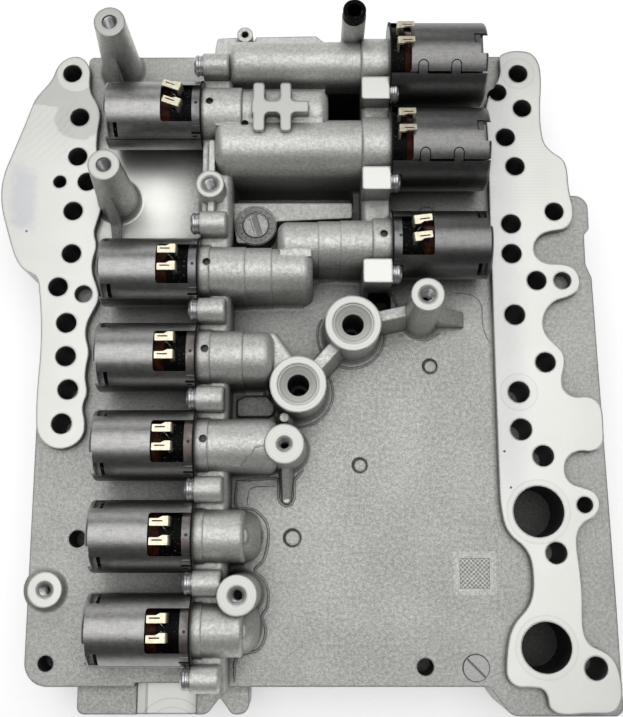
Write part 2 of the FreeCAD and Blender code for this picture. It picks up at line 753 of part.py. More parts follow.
def housing_holes():
    """Everything that is drilled, tapped or bored into the housing."""
    tools = []
    top = flange_top + 1
    for x, y, radius in LEFT_PORTS + RIGHT_PORTS:
        tools.append(disc(x, y, radius, housing_bottom - 1, top))
    for x, y, radius in POCKETS:
        tools.append(disc(x, y, radius, flange_top - pocket_depth, top))
    for x, y, radius in LARGE_PORTS:
        tools.append(disc(x, y, radius, flange_top - port_depth_large, top))
    for x, y, radius in PLATE_HOLES:
        tools.append(disc(x, y, radius, plate_top - plate_hole_depth, top))
    for y in (post_two_y, post_two_y + post_spacing_y):
        z_top = plate_top + post_height
        tools.append(disc(post_x, y, thread_radius, z_top - 16.0, z_top + 1))
    for x, y, _, _, height, radius in BOSSES:
        z_top = plate_top + height
        tools.append(disc(x, y, radius, z_top - 14.0, z_top + 1))
        tools.append(cone(x, y, radius, radius + 0.9, z_top - 0.9, z_top))
    x, y = tall_boss_top
    z_top = plate_top + tall_boss_height
    tools.append(disc(x, y, tall_boss_thread, z_top - 14.0, z_top + 1))
    tools.append(cone(x, y, tall_boss_thread, tall_boss_thread + 0.9, z_top - 0.9, z_top))
    for x, y in RING_BOSSES:
        z_top = plate_top + ring_boss_height
        seat_z = z_top - ring_seat_depth
        cone_low_z = seat_z - ring_cone_depth
        tools.append(disc(x, y, ring_seat_radius, seat_z, z_top + 1))
        tools.append(cone(x, y, ring_hole_radius, ring_cone_radius, cone_low_z, seat_z))
        tools.append(disc(x, y, ring_hole_radius, ring_hole_end_z, z_top))
        tools.append(disc(x, y, ring_hole_end_radius, housing_bottom + 3.0, z_top))
    tube_end = plate_top + tube_height
    tools.append(disc(*tube_place, tube_bore_radius, tube_end - 19.0, tube_end + 1))
    tools.append(disc(*ear_place, ear_hole_radius, plate_top + 4.0, plate_top + 16.0))
    return tools


def turned_to_side(shape, side):
    """A part built along +X from the face, turned round where it leaves to the left."""
    placed = shape.copy()
    if side < 0:
        placed.rotate(ORIGIN, Z_DIR, 180)
    return placed


def place_valve_part(shape, name):
    side, y, _, _ = VALVES[name]
    placed = turned_to_side(shape, side)
    placed.translate(vec(left_face_x if side < 0 else right_face_x, y, axis_z))
    return placed


def bore_length(name):
    side, _, _, sections = VALVES[name]
    face_x = left_face_x if side < 0 else right_face_x
    return abs(face_x - sections[-1][0]) - bore_end_wall


def bore_tools():
    """Spool bores with the wider seat for each solenoid snout."""
    tools = []
    for name in VALVES:
        bore = rod(-bore_length(name), 0.5, bore_radius)
        seat = rod(-snout_length, 0.5, snout_radius)
        tools.append(place_valve_part(joined([bore, seat]), name))
    return tools


def valve_housing():
    body = joined([
        cornered_slab(PLATE_OUTLINE, housing_bottom, plate_top),
        smooth_slab(LEFT_FLANGE_OUTLINE, housing_bottom, flange_top),
        smooth_slab(RIGHT_FLANGE_OUTLINE, housing_bottom, flange_top),
        side_tab(),
    ]).cut(tab_pad_tool())
    groups = (bore_bodies(), walls(), screw_bosses(), posts(), bosses(), h_pad(), top_details())
    for group in groups:
        body = joined([body] + group)
    tools = housing_holes() + core_pockets() + bore_tools()
    tools += retaining_screw_solids()
    tools += cross_pin_solids(1.0)
    tools.append(slotted_plug_blank())
    for x, y, radius in EJECTOR_MARKS:
        ring = disc(x, y, radius, plate_top - 0.5, plate_top + 1)
        tools.append(ring.cut(disc(x, y, radius - 0.6, plate_top - 1, plate_top + 2)))
    for x, y in CASE_SCREWS:
        tools.append(disc(x, y, case_screw_radius, housing_bottom - 1, case_screw_end_z()))
    for x, y in DOWELS:
        tools.append(disc(x, y, dowel_radius, housing_bottom - 1, housing_bottom + dowel_reach))
    return body.cut(tools)


# Lower layers

def case_screw_end_z():
    return housing_bottom + case_screw_reach - case_screw_recess


def separator_plate():
    plate = casting_footprint(channel_plate_height, housing_bottom)
    tools = [disc(x, y, case_screw_radius, 0, 20) for x, y in CASE_SCREWS]
    tools += [disc(x, y, dowel_radius, 0, 20) for x, y in DOWELS]
    return plate.cut(tools)


def channel_plate():
    plate = casting_footprint(0, channel_plate_height)
    head_top = case_screw_recess + case_screw_head_height
    tools = [disc(x, y, case_screw_radius, 0, 20) for x, y in CASE_SCREWS]
    tools += [disc(x, y, case_screw_head_radius, -1, head_top) for x, y in CASE_SCREWS]
    tools += [disc(x, y, dowel_radius, channel_plate_height - dowel_reach, 20) for x, y in DOWELS]
    return plate.cut(tools)


# Fasteners and small fittings

def case_screws():
    screws = []
    for x, y in CASE_SCREWS:
        head_low = case_screw_recess
        head_top = head_low + case_screw_head_height
        head = disc(x, y, case_screw_head_radius, head_low, head_top)
        shank = disc(x, y, case_screw_radius, head_top - 1, case_screw_end_z())
        socket = disc(x, y, 2.5, head_low - 1, head_low + 3.0)
        screws.append(joined([head, shank]).cut(socket))
    return Part.makeCompound(screws)


def dowels():
    low = channel_plate_height - dowel_reach
    high = housing_bottom + dowel_reach
    return Part.makeCompound([disc(x, y, dowel_radius, low, high) for x, y in DOWELS])


def screw_on_face(face_x, side, y):
    """Button-head screw whose head rests on the housing face beside a solenoid."""
    head_low, head_high = sorted((face_x, face_x + side * screw_head_thickness))
    head = rod(head_low, head_high, screw_head_radius, y, screw_z)
    end_edge = max(head.Edges, key=lambda edge: side * edge.CenterOfMass.x)
    head = head.makeChamfer(screw_head_chamfer, [end_edge])
    inner = face_x - side * screw_depth
    shank_low, shank_high = sorted((face_x, inner))
    shank = rod(shank_low, shank_high, screw_shank_radius, y, screw_z)
    return joined([head, shank])


def retaining_screw_solids():
    left = [screw_on_face(left_face_x, -1, y) for y in LEFT_SCREWS]
    right = [screw_on_face(right_face_x, 1, y) for y in RIGHT_SCREWS]
    return left + right


def retaining_screws():
    screws = []
    places = [(left_face_x, -1, y) for y in LEFT_SCREWS]
    places += [(right_face_x, 1, y) for y in RIGHT_SCREWS]
    for face_x, side, y in places:
        outer = face_x + side * screw_head_thickness
        low, high = sorted((outer - side * head_socket_depth, outer + side))
        socket = rod(low, high, head_socket_radius, y, screw_z)
        screws.append(screw_on_face(face_x, side, y).cut(socket))
    return Part.makeCompound(screws)


def cross_pin_solids(rise):
    """Pins driven down beside the snouts, each top at the given rise from the casting."""
    pins = []
    for name in PINNED_VALVES:
        side, y, _, sections = VALVES[name]
        x = (left_face_x if side < 0 else right_face_x) - side * cross_pin_inset
        crown = axis_z + sections[0][1]
        low = crown - cross_pin_length
        pins.append(disc(x, y + cross_pin_offset_y, cross_pin_radius, low, crown + rise))
    low = valley_pin_top - cross_pin_length
    pins.append(disc(*VALLEY_PIN, cross_pin_radius, low, valley_pin_top + cross_pin_sink + rise))
    return pins


def cross_pins():
    return Part.makeCompound(cross_pin_solids(-cross_pin_sink))


def slotted_plug_blank():
    x, y = plug_place
    return disc(x, y, plug_radius, plate_top - plug_thickness, plate_top + plug_stand)


def slotted_plug():
    x, y = plug_place
    half = plug_slot_width / 2
    slot = block(-plug_radius, plug_radius, -half, half, plate_top, plate_top + 1)
    slot.rotate(ORIGIN, Z_DIR, -45)
    slot.translate(vec(x, y, 0))
    return slotted_plug_blank().cut(slot)


def tube_sleeve():
    """Sleeve pressed into the breather tube, with a lip on the tube's end."""
    x, y = tube_place
    tube_end = plate_top + tube_height
    low = tube_end - sleeve_depth
    high = tube_end + sleeve_rise
    stem = disc(x, y, tube_bore_radius, low, high)
    lip = disc(x, y, tube_bore_radius + sleeve_lip, tube_end, high)
    bore = disc(x, y, tube_bore_radius - sleeve_wall, low - 1, high + 1)
    return joined([stem, lip]).cut(bore)


# Solenoids, built along +X from the housing face with the window up

def can_radius(size):
    return small_can_radius if size == "small" else large_can_radius


def clear_of_screw_heads(shape):
    """Cut the notches that let the screw heads reach the housing face."""
    tools = []
    radius = screw_head_radius + screw_clearance
    for y in LEFT_SCREWS:
        low = left_face_x - screw_head_thickness - screw_clearance
        tools.append(rod(low, left_face_x + 1, radius, y, screw_z))
    for y in RIGHT_SCREWS:
        high = right_face_x + screw_head_thickness + screw_clearance
        tools.append(rod(right_face_x - 1, high, radius, y, screw_z))
    return shape.cut(tools)


def around(shape, angle):
    """The shape turned about the solenoid's own axis."""
    shape.rotate(ORIGIN, X_DIR, angle)
    return shape


def can_turn(name):
    """Turn that leans a solenoid's window towards +Y on either side."""
    side, _, size, _ = VALVES[name]
    return -side * (small_turn if size == "small" else large_turn)


def window_tool(size):
    """Opening from the can's mouth, rounded at its far corners."""
    half = small_window_half if size == "small" else large_window_half
    length = window_length if size == "small" else large_window_length
    outline = [(-1, -half, 0.0), (length, -half, window_corner), (length, half, window_corner),
               (-1, half, 0.0)]
    return cornered_slab(outline, 0, can_radius(size) + 2)


def latch_tools(size, angle):
    """Latch near the rim: an opening on a small can, a tongue slit on three sides on a large."""
    radius = can_radius(size)
    half = (small_latch_width if size == "small" else large_latch_width) / 2
    low = radius - 2 * can_wall
    high = radius + 1
    x_high = can_length - latch_inset
    x_low = x_high - latch_length
    if size == "small":
        return [around(block(x_low, x_high, -half, half, low, high), angle)]
    pressed = tube(x_low, x_high, radius + 1, radius - latch_sink)
    pressed = pressed.common(block(x_low, x_high, -half, half, low, high))
    root_slit = block(x_low, x_low + slit_width, -half, half, low, high)
    tools = [pressed, root_slit]
    for side in (-1, 1):
        y_low, y_high = sorted((side * half, side * (half - slit_width)))
        tools.append(block(x_low, x_high, y_low, y_high, low, high))
    return [around(tool, angle) for tool in tools]


def tongue_tools(place, low, high):
    """Slit round one tongue of a large can's seam, which lies along X at y = 0."""
    inner = tongue_radius - slit_width
    ring = disc(place, tongue_reach, tongue_radius, low, high)
    ring = ring.cut(disc(place, tongue_reach, inner, low - 1, high + 1))
    ring = ring.cut(block(place - 5, place + 5, tongue_reach - 5, tongue_reach, low - 1, high + 1))
    tools = [ring]
    for side in (-1, 1):
        x_low, x_high = sorted((place + side * inner, place + side * tongue_radius))
        tools.append(block(x_low, x_high, 0, tongue_reach, low, high))
        tools.append(disc(place + side * tongue_radius, 0, tongue_relief, low, high))
    return tools


def large_seam_tools():
    """Seam of a large can: three straight slots broken by two round tongues."""
    low = large_can_radius - 2 * can_wall
    high = large_can_radius + 1
    first, second = tongue_places
    gaps = [
        (-1, first - tongue_radius),
        (first + tongue_radius, second - tongue_radius),
        (second + tongue_radius, can_length + 1),
    ]
    tools = []
    for (x_low, x_high), half in zip(gaps, large_seam_halves):
        tools.append(block(x_low, x_high, -half, half, low, high))
    for place in tongue_places:
        tools += tongue_tools(place, low, high)
    return [around(tool, large_seam_angle) for tool in tools]


def can_blank(name):
    """Rolled steel case: open towards the housing, its end disc set inside the rim."""
    size = VALVES[name][2]
    radius = can_radius(size)
    low = radius - 2 * can_wall
    high = radius + 1
    outer = rod(0, can_length, radius)
    end_edge = max(outer.Edges, key=lambda edge: edge.CenterOfMass.x)
    outer = outer.makeFillet(rim_rounding, [end_edge])
    inner = rod(-1, can_length - can_rim - can_end_wall, radius - can_wall)
    rim = rod(can_length - can_rim, can_length + 1, radius - can_wall)
    tools = [inner, rim, around(window_tool(size), can_turn(name))]
    if size == "large":
        half = large_notch_half
        notch = block(can_length - large_notch_depth, can_length + 1, -half, half, low, high)
        tools.append(around(notch, large_notch_angle))
        tools += latch_tools(size, large_latch_angle)
        tools += large_seam_tools()
        return outer.cut(tools)
    half = small_notch_half
    notch = block(can_length - small_notch_depth, can_length + 1, -half, half, low, high)
    tools.append(around(notch, small_notch_angle))
    for angle in small_latch_angles:
        tools += latch_tools(size, angle)
    half = small_seam_half
    seam = block(-1, can_length + 1, -half, half, low, high)
    tools.append(around(seam, small_seam_angle))
    return outer.cut(tools)


def solenoid_can(name):
    return clear_of_screw_heads(place_valve_part(can_blank(name), name))


def pole_core(name):
    """Collar, snout in the housing and core inside the coil, bored for the push pin."""
    size = VALVES[name][2]
    collar_radius = can_radius(size) - can_wall
    shapes = [
        rod(0, collar_depth(size), collar_radius),
        rod(-snout_length, 1, snout_radius),
        rod(1, core_reach, core_radius),
    ]
    core = joined(shapes).cut(rod(-20, 20, push_pin_radius + push_pin_clearance))
    return clear_of_screw_heads(place_valve_part(core, name))


def collar_depth(size):
    return collar_thickness if size == "small" else large_collar_thickness


def flange_depth(size):
    return former_flange if size == "small" else large_former_flange


def former_end():
    return can_length - can_rim - can_end_wall


def coil_former(name):
    """Moulded bobbin: thick flange, tube and end flange."""
    size = VALVES[name][2]
    flange_radius = can_radius(size) - can_wall - former_gap
    first = collar_depth(size)
    second = first + flange_depth(size)
    end = former_end()
    shapes = [
        rod(first, second, flange_radius),
        rod(second - 1, end, core_radius + former_wall),
        rod(end - former_end_flange, end, flange_radius),
    ]
    former = joined(shapes).cut(rod(0, end + 1, core_radius))
    return place_valve_part(former, name)


def winding(name):
    size = VALVES[name][2]
    first = collar_depth(size) + flange_depth(size)
    last = former_end() - former_end_flange
    outer = can_radius(size) - can_wall - winding_gap
    return place_valve_part(tube(first, last, outer, core_radius + former_wall), name)


def terminal_blade(size):
    """One contact blade: a leg in the coil former, a bend and a slotted tip over the winding."""
    small = size == "small"
    start = small_terminal_start if small else large_terminal_start
    tip = start + (small_terminal_reach if small else large_terminal_reach)
    top = can_radius(size) + terminal_rise
    wide = terminal_width / 2
    narrow = terminal_width / 2 - (terminal_width - terminal_tip_width)
    slot_end = tip - terminal_slot_inset
    slot_start = slot_end - terminal_slot_length
    leg_low = can_radius(size) - terminal_leg
    leg = block(start, start + terminal_thickness, -wide, wide, leg_low, top)
    outline = [
        (start, -wide, 0.0), (slot_start, -wide, 0.4), (slot_start + 1.4, -narrow, 0.4),
        (tip, -narrow, 0.3), (tip, wide, 0.3), (start, wide, 0.0),
    ]
    blade = joined([leg, cornered_slab(outline, top - terminal_thickness, top)])
    bend = min(blade.Edges, key=lambda edge: edge.CenterOfMass.x - edge.CenterOfMass.z)
    blade = blade.makeFillet(terminal_bend, [bend])
    half = terminal_slot_width / 2
    return blade.cut(block(slot_start, slot_end, -half, half, top - 2, top + 1))


def terminal_pivot(size):
    """Distance from the housing face to the middle of a blade's leg."""
    start = small_terminal_start if size == "small" else large_terminal_start
    return start + terminal_thickness / 2


def terminal_pair(name):
    """Two contact blades that stand on the coil former and reach over its winding."""
    side, _, size, _ = VALVES[name]
    spacing = small_terminal_spacing if size == "small" else large_terminal_spacing
    shift = side * (small_terminal_shift if size == "small" else large_terminal_shift)
    blades = []
    for end in (-1, 1):
        blade = terminal_blade(size)
        blade.rotate(vec(terminal_pivot(size), 0, 0), Z_DIR, TERMINAL_YAWS.get(name, 0.0))
        blade.translate(vec(0, shift + end * spacing / 2, 0))
        blades.append(place_valve_part(around(blade, can_turn(name)), name))
    return blades


def armature(name):
    """Plunger that slides in the coil former, with its push pin reaching the spool."""
    radius = core_radius - armature_clearance
    start = core_reach + air_gap
    shapes = [
        rod(start, start + armature_length, radius),
        rod(-snout_length - pin_end_gap, start + 1, push_pin_radius),
    ]
    return place_valve_part(joined(shapes), name)


def spool(name):
    """Valve spool: equal lands joined by a thinner neck, or one land in a short bore."""
    near = -snout_length - pin_end_gap
    far = -bore_length(name) + spring_room
    length = near - far
    land_count = int((length + neck_length) / (land_length + neck_length))
    if land_count < 2:
        return place_valve_part(rod(far, near, spool_radius), name)
    step = (length - land_length) / (land_count - 1)
    shapes = [rod(far, near, spool_neck_radius)]
    for index in range(land_count):
        start = far + index * step
        shapes.append(rod(start, start + land_length, spool_radius))
    return place_valve_part(joined(shapes), name)


def return_spring(name):
    """Room of one coil spring at its shortest, on the blind end of the bore."""
    far = -bore_length(name)
    near = far + spring_room - stroke - spring_play
    return place_valve_part(tube(far, near, spring_radius, spring_radius - spring_wire), name)


def return_springs():
    return Part.makeCompound([return_spring(name) for name in VALVES])


def windings():
    return Part.makeCompound([winding(name) for name in VALVES])


def terminals():
    blades = []
    for name in VALVES:
        blades += terminal_pair(name)
    return Part.makeCompound(blades)


def coil_former_with_slots(name):
    """Coil former with the slots that hold its two terminals."""
    return clear_of_screw_heads(coil_former(name)).cut(terminal_pair(name))


def build():
    parts = {
        "valve_housing": valve_housing(),
        "separator_plate": separator_plate(),
        "channel_plate": channel_plate(),
        "case_screws": case_screws(),
        "dowels": dowels(),
        "retaining_screws": retaining_screws(),
        "cross_pins": cross_pins(),
        "slotted_plug": slotted_plug(),
        "tube_sleeve": tube_sleeve(),
        "windings": windings(),
        "terminals": terminals(),
        "return_springs": return_springs(),
    }
    for name in VALVES:
        parts["can_" + name] = solenoid_can(name)
        parts["coil_former_" + name] = coil_former_with_slots(name)
        parts["pole_core_" + name] = pole_core(name)
        parts["armature_" + name] = armature(name)
        parts["spool_" + name] = spool(name)
    return parts


os.makedirs("parts", exist_ok=True)
for node, shape in build().items():
    shape.exportStep("parts/" + node + ".step")
    print(node, len(shape.Solids), round(shape.Volume, 1), shape.isValid())
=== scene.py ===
import math

import bpy
import numpy as np
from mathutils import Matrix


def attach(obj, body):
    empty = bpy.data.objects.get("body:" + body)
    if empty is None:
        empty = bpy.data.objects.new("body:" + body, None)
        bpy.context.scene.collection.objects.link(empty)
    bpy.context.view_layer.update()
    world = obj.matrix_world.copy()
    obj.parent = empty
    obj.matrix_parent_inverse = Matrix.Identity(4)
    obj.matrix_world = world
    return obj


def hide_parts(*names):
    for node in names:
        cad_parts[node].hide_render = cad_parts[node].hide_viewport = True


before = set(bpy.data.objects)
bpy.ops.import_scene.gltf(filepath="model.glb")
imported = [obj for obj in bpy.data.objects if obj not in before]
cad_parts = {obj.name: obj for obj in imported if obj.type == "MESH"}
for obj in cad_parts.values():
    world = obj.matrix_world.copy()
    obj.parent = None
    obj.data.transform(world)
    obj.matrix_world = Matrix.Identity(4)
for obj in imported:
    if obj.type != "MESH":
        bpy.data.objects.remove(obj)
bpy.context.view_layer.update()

MM = 0.001

# Heights of the casting in millimetres above the case face
plate_top = 30.0
flange_top = 33.5
axis_z = 45.0
date_pad_top = 38.0
screw_z = 49.5

# The solenoids: side of the housing, y of the axis, size
SOLENOIDS = [
    (-1, 88.3, "small"), (-1, 29.8, "small"), (-1, -0.5, "small"), (-1, -30.8, "small"),
    (-1, -61.1, "small"), (-1, -91.4, "small"),
    (1, 108.0, "large"), (1, 75.4, "large"), (1, 39.8, "small"),
]
CAN_RADIUS = {"small": 12.0, "large": 14.7}
left_face_x = -33.7
right_face_x = 32.75
LEFT_SCREWS = [105.5, 46.2, 15.2, -15.5, -45.9, -76.3, -106.4]
RIGHT_SCREWS = [95.2, 61.6, 28.2]

# Camera: focal length in pixels and place, both worked out from the photograph
image_width = 623
focal_pixels = 1000.0
sensor_width = 36.0
camera_place = (0.005, -0.0645, 0.3838)
camera_tilt = math.radians(10.65)


def housing_face(side):
    """Place along x of the casting's face that a solenoid's can meets: side is -1 or 1."""
    return left_face_x if side < 0 else right_face_x


def small_solenoids():
    """Side and y of the axis of each small solenoid."""
    return [(side, y) for side, y, size in SOLENOIDS if size == "small"]


# Shader helpers

class Field:
    """A number or colour that changes over the surface: one output socket, with arithmetic."""

    def __init__(self, finish, socket):
        self.finish = finish
        self.socket = socket

    def math(self, operation, *others):
        """One Math node of the given operation on this and the other values."""
        values = [self] + list(others)
        return self.finish.node("Math", {"operation": operation}, dict(enumerate(values)))

    def __add__(self, other):
        return self.math("ADD", other)

    def __radd__(self, other):
        return self.math("ADD", other)

    def __sub__(self, other):
        return self.math("SUBTRACT", other)

    def __rsub__(self, other):
        return self.finish.node("Math", {"operation": "SUBTRACT"}, {0: other, 1: self})

    def __mul__(self, other):
        return self.math("MULTIPLY", other)

    def __rmul__(self, other):
        return self.math("MULTIPLY", other)

    def __truediv__(self, other):
        return self.math("DIVIDE", other)

    def __gt__(self, other):
        return self.math("GREATER_THAN", other)

    def __lt__(self, other):
        return self.math("LESS_THAN", other)

    def sine(self):
        return self.math("SINE")

    def size(self):
        """Absolute value."""
        return self.math("ABSOLUTE")

    def root(self):
        return self.math("SQRT")

    def most(self, other):
        return self.math("MAXIMUM", other)

    def ramp(self, low, high):
        """Smooth step from 0 at low to 1 at high."""
        settings = {"interpolation_type": "SMOOTHSTEP"}
        values = {"Value": self, "From Min": low, "From Max": high}
        return self.finish.node("MapRange", settings, values)


class Finish:
    """One material and the nodes that give it its finish."""

    def __init__(self, name):
        self.material = bpy.data.materials.new(name)
        self.material.use_nodes = True
        self.tree = self.material.node_tree
        self.surface = self.tree.nodes["Principled BSDF"]

    def node(self, kind, settings=None, inputs=None, output=0):
        """Adds one node: its settings first, then the values or links of its sockets."""
        node = self.tree.nodes.new("ShaderNode" + kind)
        for key, value in (settings or {}).items():
            setattr(node, key, value)
        for key, value in (inputs or {}).items():
            self.feed(node.inputs[key], value)
        return Field(self, node.outputs[output])

    def feed(self, socket, value):
        """Links a field to a socket, or sets a plain value."""
        if isinstance(value, Field):
            self.tree.links.new(value.socket, socket)
        else:
            socket.default_value = value

    def set(self, **values):
        """Values or links of the surface shader, its sockets written with underscores."""
        for key, value in values.items():
            self.feed(self.surface.inputs[key.replace("_", " ")], value)

    def place(self):
        """Object coordinates in millimetres."""
        raw = self.node("TexCoord", output="Object")
        return self.node("VectorMath", {"operation": "SCALE"}, {0: raw, "Scale": 1000.0})

    def axes(self, vector):
        """The three components of a vector."""
        split = self.tree.nodes.new("ShaderNodeSeparateXYZ")
        self.feed(split.inputs[0], vector)
        return [Field(self, socket) for socket in split.outputs]

    def upness(self):
        """How far the true surface faces up, from -1 to 1."""
        normal = self.node("NewGeometry", output="True Normal")
        return self.axes(normal)[2]

    def noise(self, vector, scale, detail=3.0, roughness=0.55):
        """Cloudy noise from 0 to 1 with the given waves a millimetre."""
        values = {"Vector": vector, "Scale": scale, "Detail": detail, "Roughness": roughness}
        return self.node("TexNoise", {"noise_dimensions": "3D"}, values)

    def stretched(self, vector, factors):
        """The vector with each axis scaled by its own factor, for drawn-out noise."""
        return self.node("VectorMath", {"operation": "MULTIPLY"}, {0: vector, 1: factors})

    def tint(self, red, green, blue):
        """Colour made of three fields."""
        return self.node("CombineColor", None, {0: red, 1: green, 2: blue})

    def mix(self, share, first, second):
        """Colour between two others."""
        node = self.tree.nodes.new("ShaderNodeMix")
        node.data_type = "RGBA"
        self.feed(node.inputs[0], share)
        self.feed(node.inputs[6], first)
        self.feed(node.inputs[7], second)
        return Field(self, node.outputs[2])

    def openness(self, reach_mm):
        """How open the surface lies: 1 on a free face, near 0 down in a hole or a groove."""
        settings = {"samples": 4, "only_local": False}
        values = {"Distance": reach_mm * MM}
        return self.node("AmbientOcclusion", settings, values, output="AO")

    def near(self, x, y, centre_x, centre_y):
        """Distance in millimetres from a point of the plan."""
        dx = x - centre_x
        dy = y - centre_y
        return (dx * dx + dy * dy).root()

    def rounded(self, radius_mm):
        """Normal that turns smoothly across edges, as on a casting's small fillets."""
        return self.node("Bevel", {"samples": 4}, {"Radius": radius_mm * MM})

    def bump(self, height, depth_mm, base=None):
        """Normal of a relief whose height field runs from 0 to 1 over depth_mm."""
        values = {"Height": height, "Distance": depth_mm * MM, "Strength": 1.0}
        if base is not None:
            values["Normal"] = base
        return self.node("Bump", None, values)


def grey(value, warmth=0.0):
    """Grey as red, green, blue and alpha, a little warmer or cooler if wanted."""
    return (value * (1 + warmth), value, value * (1 - warmth), 1.0)


# Finishes

# Radius in millimetres to which the casting's outer and inner edges look rounded
cast_edge = 0.9
# How far from its height a point still counts as on a flat face, on the flanges and the
# plate, and on the bosses and pads
flat_slack = 0.06
top_slack = 0.1
# How far a machined disc's finish reaches down inside its hole
disc_reach = 3.2
# Milled levels of the casting, dullest to brightest
milled_dull = 0.40
milled_mid = 0.44
milled_bright = 0.55

# Round machined tops of the casting: x, y, radius, height, all in millimetres, and brightness
MACHINED_DISCS = [
    (-64.7, 113.3, 5.7, 66.5, milled_mid), (-64.7, 61.3, 5.7, 66.5, milled_mid),
    (-30.2, 59.2, 5.2, 54.0, milled_mid), (43.5, 17.3, 5.9, 63.5, milled_mid),
    (-4.0, -31.2, 6.8, 54.4, milled_mid), (-19.0, -80.0, 6.9, 54.4, milled_mid),
    (19.3, 10.6, 10.0, 50.0, milled_mid), (0.5, -10.5, 10.0, 50.0, milled_mid),
    (19.9, 117.6, 4.5, 63.0, milled_mid),
]
square_boss_top = 53.7
# Square and straight ones: x low, x high, y low, y high, height, brightness
MACHINED_BLOCKS = [
    (22.0, 34.0, 90.5, 99.9, square_boss_top, milled_bright),
    (22.0, 34.0, 56.9, 66.3, square_boss_top, milled_bright),
    (22.0, 34.0, 23.5, 32.9, square_boss_top, milled_bright),
    (-16.5, 4.5, 77.0, 96.0, 57.0, milled_dull),
    (-55.5, -34.0, -122.0, -109.0, 24.4, milled_bright),
]
# Rim left by the cast rounding round a square boss's milled top, and its corner radius
milled_rim = 0.45
milled_corner = 1.8
# A face that looks up at least this far counts as level
level_face = 0.98
# Turned lines on the discs and in the ring seats, in radians a millimetre
disc_line_rate = 6.5
seat_line_rate = 5.0


def within(value, low, high):
    """1 between two limits, with hard edges."""
    return (value > low) * (value < high)


def at_height(z, height, slack):
    """1 on a flat face at the given height."""
    return within(z, height - slack, height + slack)


def rounded_within(x, y, x_low, x_high, y_low, y_high):
    """1 inside a box with rounded corners, the milled rim taken off all round."""
    half_x = (x_high - x_low) / 2 - milled_rim - milled_corner
    half_y = (y_high - y_low) / 2 - milled_rim - milled_corner
    out_x = ((x - (x_low + x_high) / 2).size() - half_x).most(0.0)
    out_y = ((y - (y_low + y_high) / 2).size() - half_y).most(0.0)
    return (out_x * out_x + out_y * out_y).root() < milled_corner


def milled_level(finish, x, y, z, up):
    """Brightness of the milled faces of the casting, 0 on its cast skin."""
    level = at_height(z, flange_top, flat_slack) * milled_bright
    for centre_x, centre_y, radius, height, bright in MACHINED_DISCS:
        distance = finish.near(x, y, centre_x, centre_y)
        turned = (distance * disc_line_rate).sine() * 0.05 + 1.0
        inside = (distance < radius) * turned
        level = level.most(inside * within(z, height - disc_reach, height + top_slack) * bright)
    for x_low, x_high, y_low, y_high, height, bright in MACHINED_BLOCKS:
        if height == square_boss_top:
            inside = rounded_within(x, y, x_low, x_high, y_low, y_high)
        else:
            inside = within(x, x_low, x_high) * within(y, y_low, y_high)
        level = level.most(inside * at_height(z, height, top_slack) * bright)
    return level * (up > level_face)


# Tapped holes: x, y, height of the mouth, radius of the hole, pitch, first and last depth
TAPPED_HOLES = [
    (-64.7, 113.3, 66.5, 2.5, 1.0, 0.9, 14.0), (-64.7, 61.3, 66.5, 2.5, 1.0, 0.9, 14.0),
    (-30.2, 59.2, 54.0, 2.3, 0.8, 1.1, 12.0), (43.5, 17.3, 63.5, 2.3, 0.8, 1.1, 12.0),
    (-4.0, -31.2, 54.4, 1.9, 0.8, 1.3, 14.0), (-19.0, -80.0, 54.4, 2.2, 0.8, 1.1, 12.0),
    (-86.3, -79.1, 33.5, 2.1, 0.8, 1.1, 12.0),
]
# Large ports in the right flange: x, y, radius, share of light left in them by the painted shade
PORTS = [(83.8, -52.6, 8.85, 0.32), (84.6, -98.1, 8.55, 0.2)]
# Counterbored seats of the two ring bosses: x, y, then radii and heights of the seat
RING_SEATS = [(19.3, 10.6), (0.5, -10.5)]
seat_inner_radius = 3.7
seat_line_radius = 6.3
seat_outer_radius = 7.25
seat_low = 46.4
seat_high = 50.2
# Flush plug: middle, radius, height above the plate
plug_place = (61.0, -105.1)
plug_radius = 4.3
plug_stand = 0.6
# Seats worn round some flange holes: x, y, radius
SEAT_RINGS = [(82.7, 110.6, 6.1), (78.5, -10.7, 6.6), (83.7, -52.6, 11.0), (84.6, -98.1, 10.6)]
# Small dark pits in the milled flanges: x, y, and their radius
FLANGE_PITS = [(-99.1, 48.7), (74.4, -44.3), (72.6, -31.7)]
flange_pit_radius = 0.45
# Left flange: middle of the swirled cutter arcs, and the two holes that bound its dull film
swirl_place = (-150.0, 140.0)
film_hole = (-81.8, 93.1)
film_bolt = (-83.5, 110.6)
# Milled pad of the tab: top and upper edge, middle of the scribed arcs, their radii and half
# widths, and its darker upright bands of painted shade as x low, x high, strength
tab_top = 25.0
tab_edge_y = -108.0
tab_arc_place = (-42.7, -128.3)
TAB_ARCS = [(12.6, 0.16), (9.6, 0.13)]
TAB_SHADE_BANDS = [(-56.0, -52.2, 0.16), (-52.2, -51.2, 0.38)]
# Ejector marks on the plate: x, y, radius of the groove's middle
EJECTOR_MARKS = [(47.6, -0.9, 2.45), (22.1, -36.4, 2.45), (-1.6, -61.6, 2.85)]
# Etched patch on the plate: middle, half width of the pale field and of the dark check, and
# width of one cell of the check
patch_place = (61.5, -73.6)
patch_half = 7.4
check_half = 5.2
check_cell = 0.75
# Deep cast pockets: x low, x high, y low, y high, top
POCKETS = [(11.3, 23.0, 85.5, 100.0, 39.0), (25.3, 33.9, 18.9, 25.9, 39.0)]
# Low pad in the shade between two bodies: x low, x high, y low, y high, top
SHADED_PAD = (-22.0, -7.6, -20.0, -11.2, 32.0)
# Share of the skin's tone taken away as painted shade in tapped holes, in the pockets and on the
# low pad
hole_shade = 0.75
pocket_shade = 0.85
pad_shade = 0.34
# Pad of the date mark: x low, x high, y low, y high
DATE_PAD = (-24.5, 20.5, 41.5, 58.5)
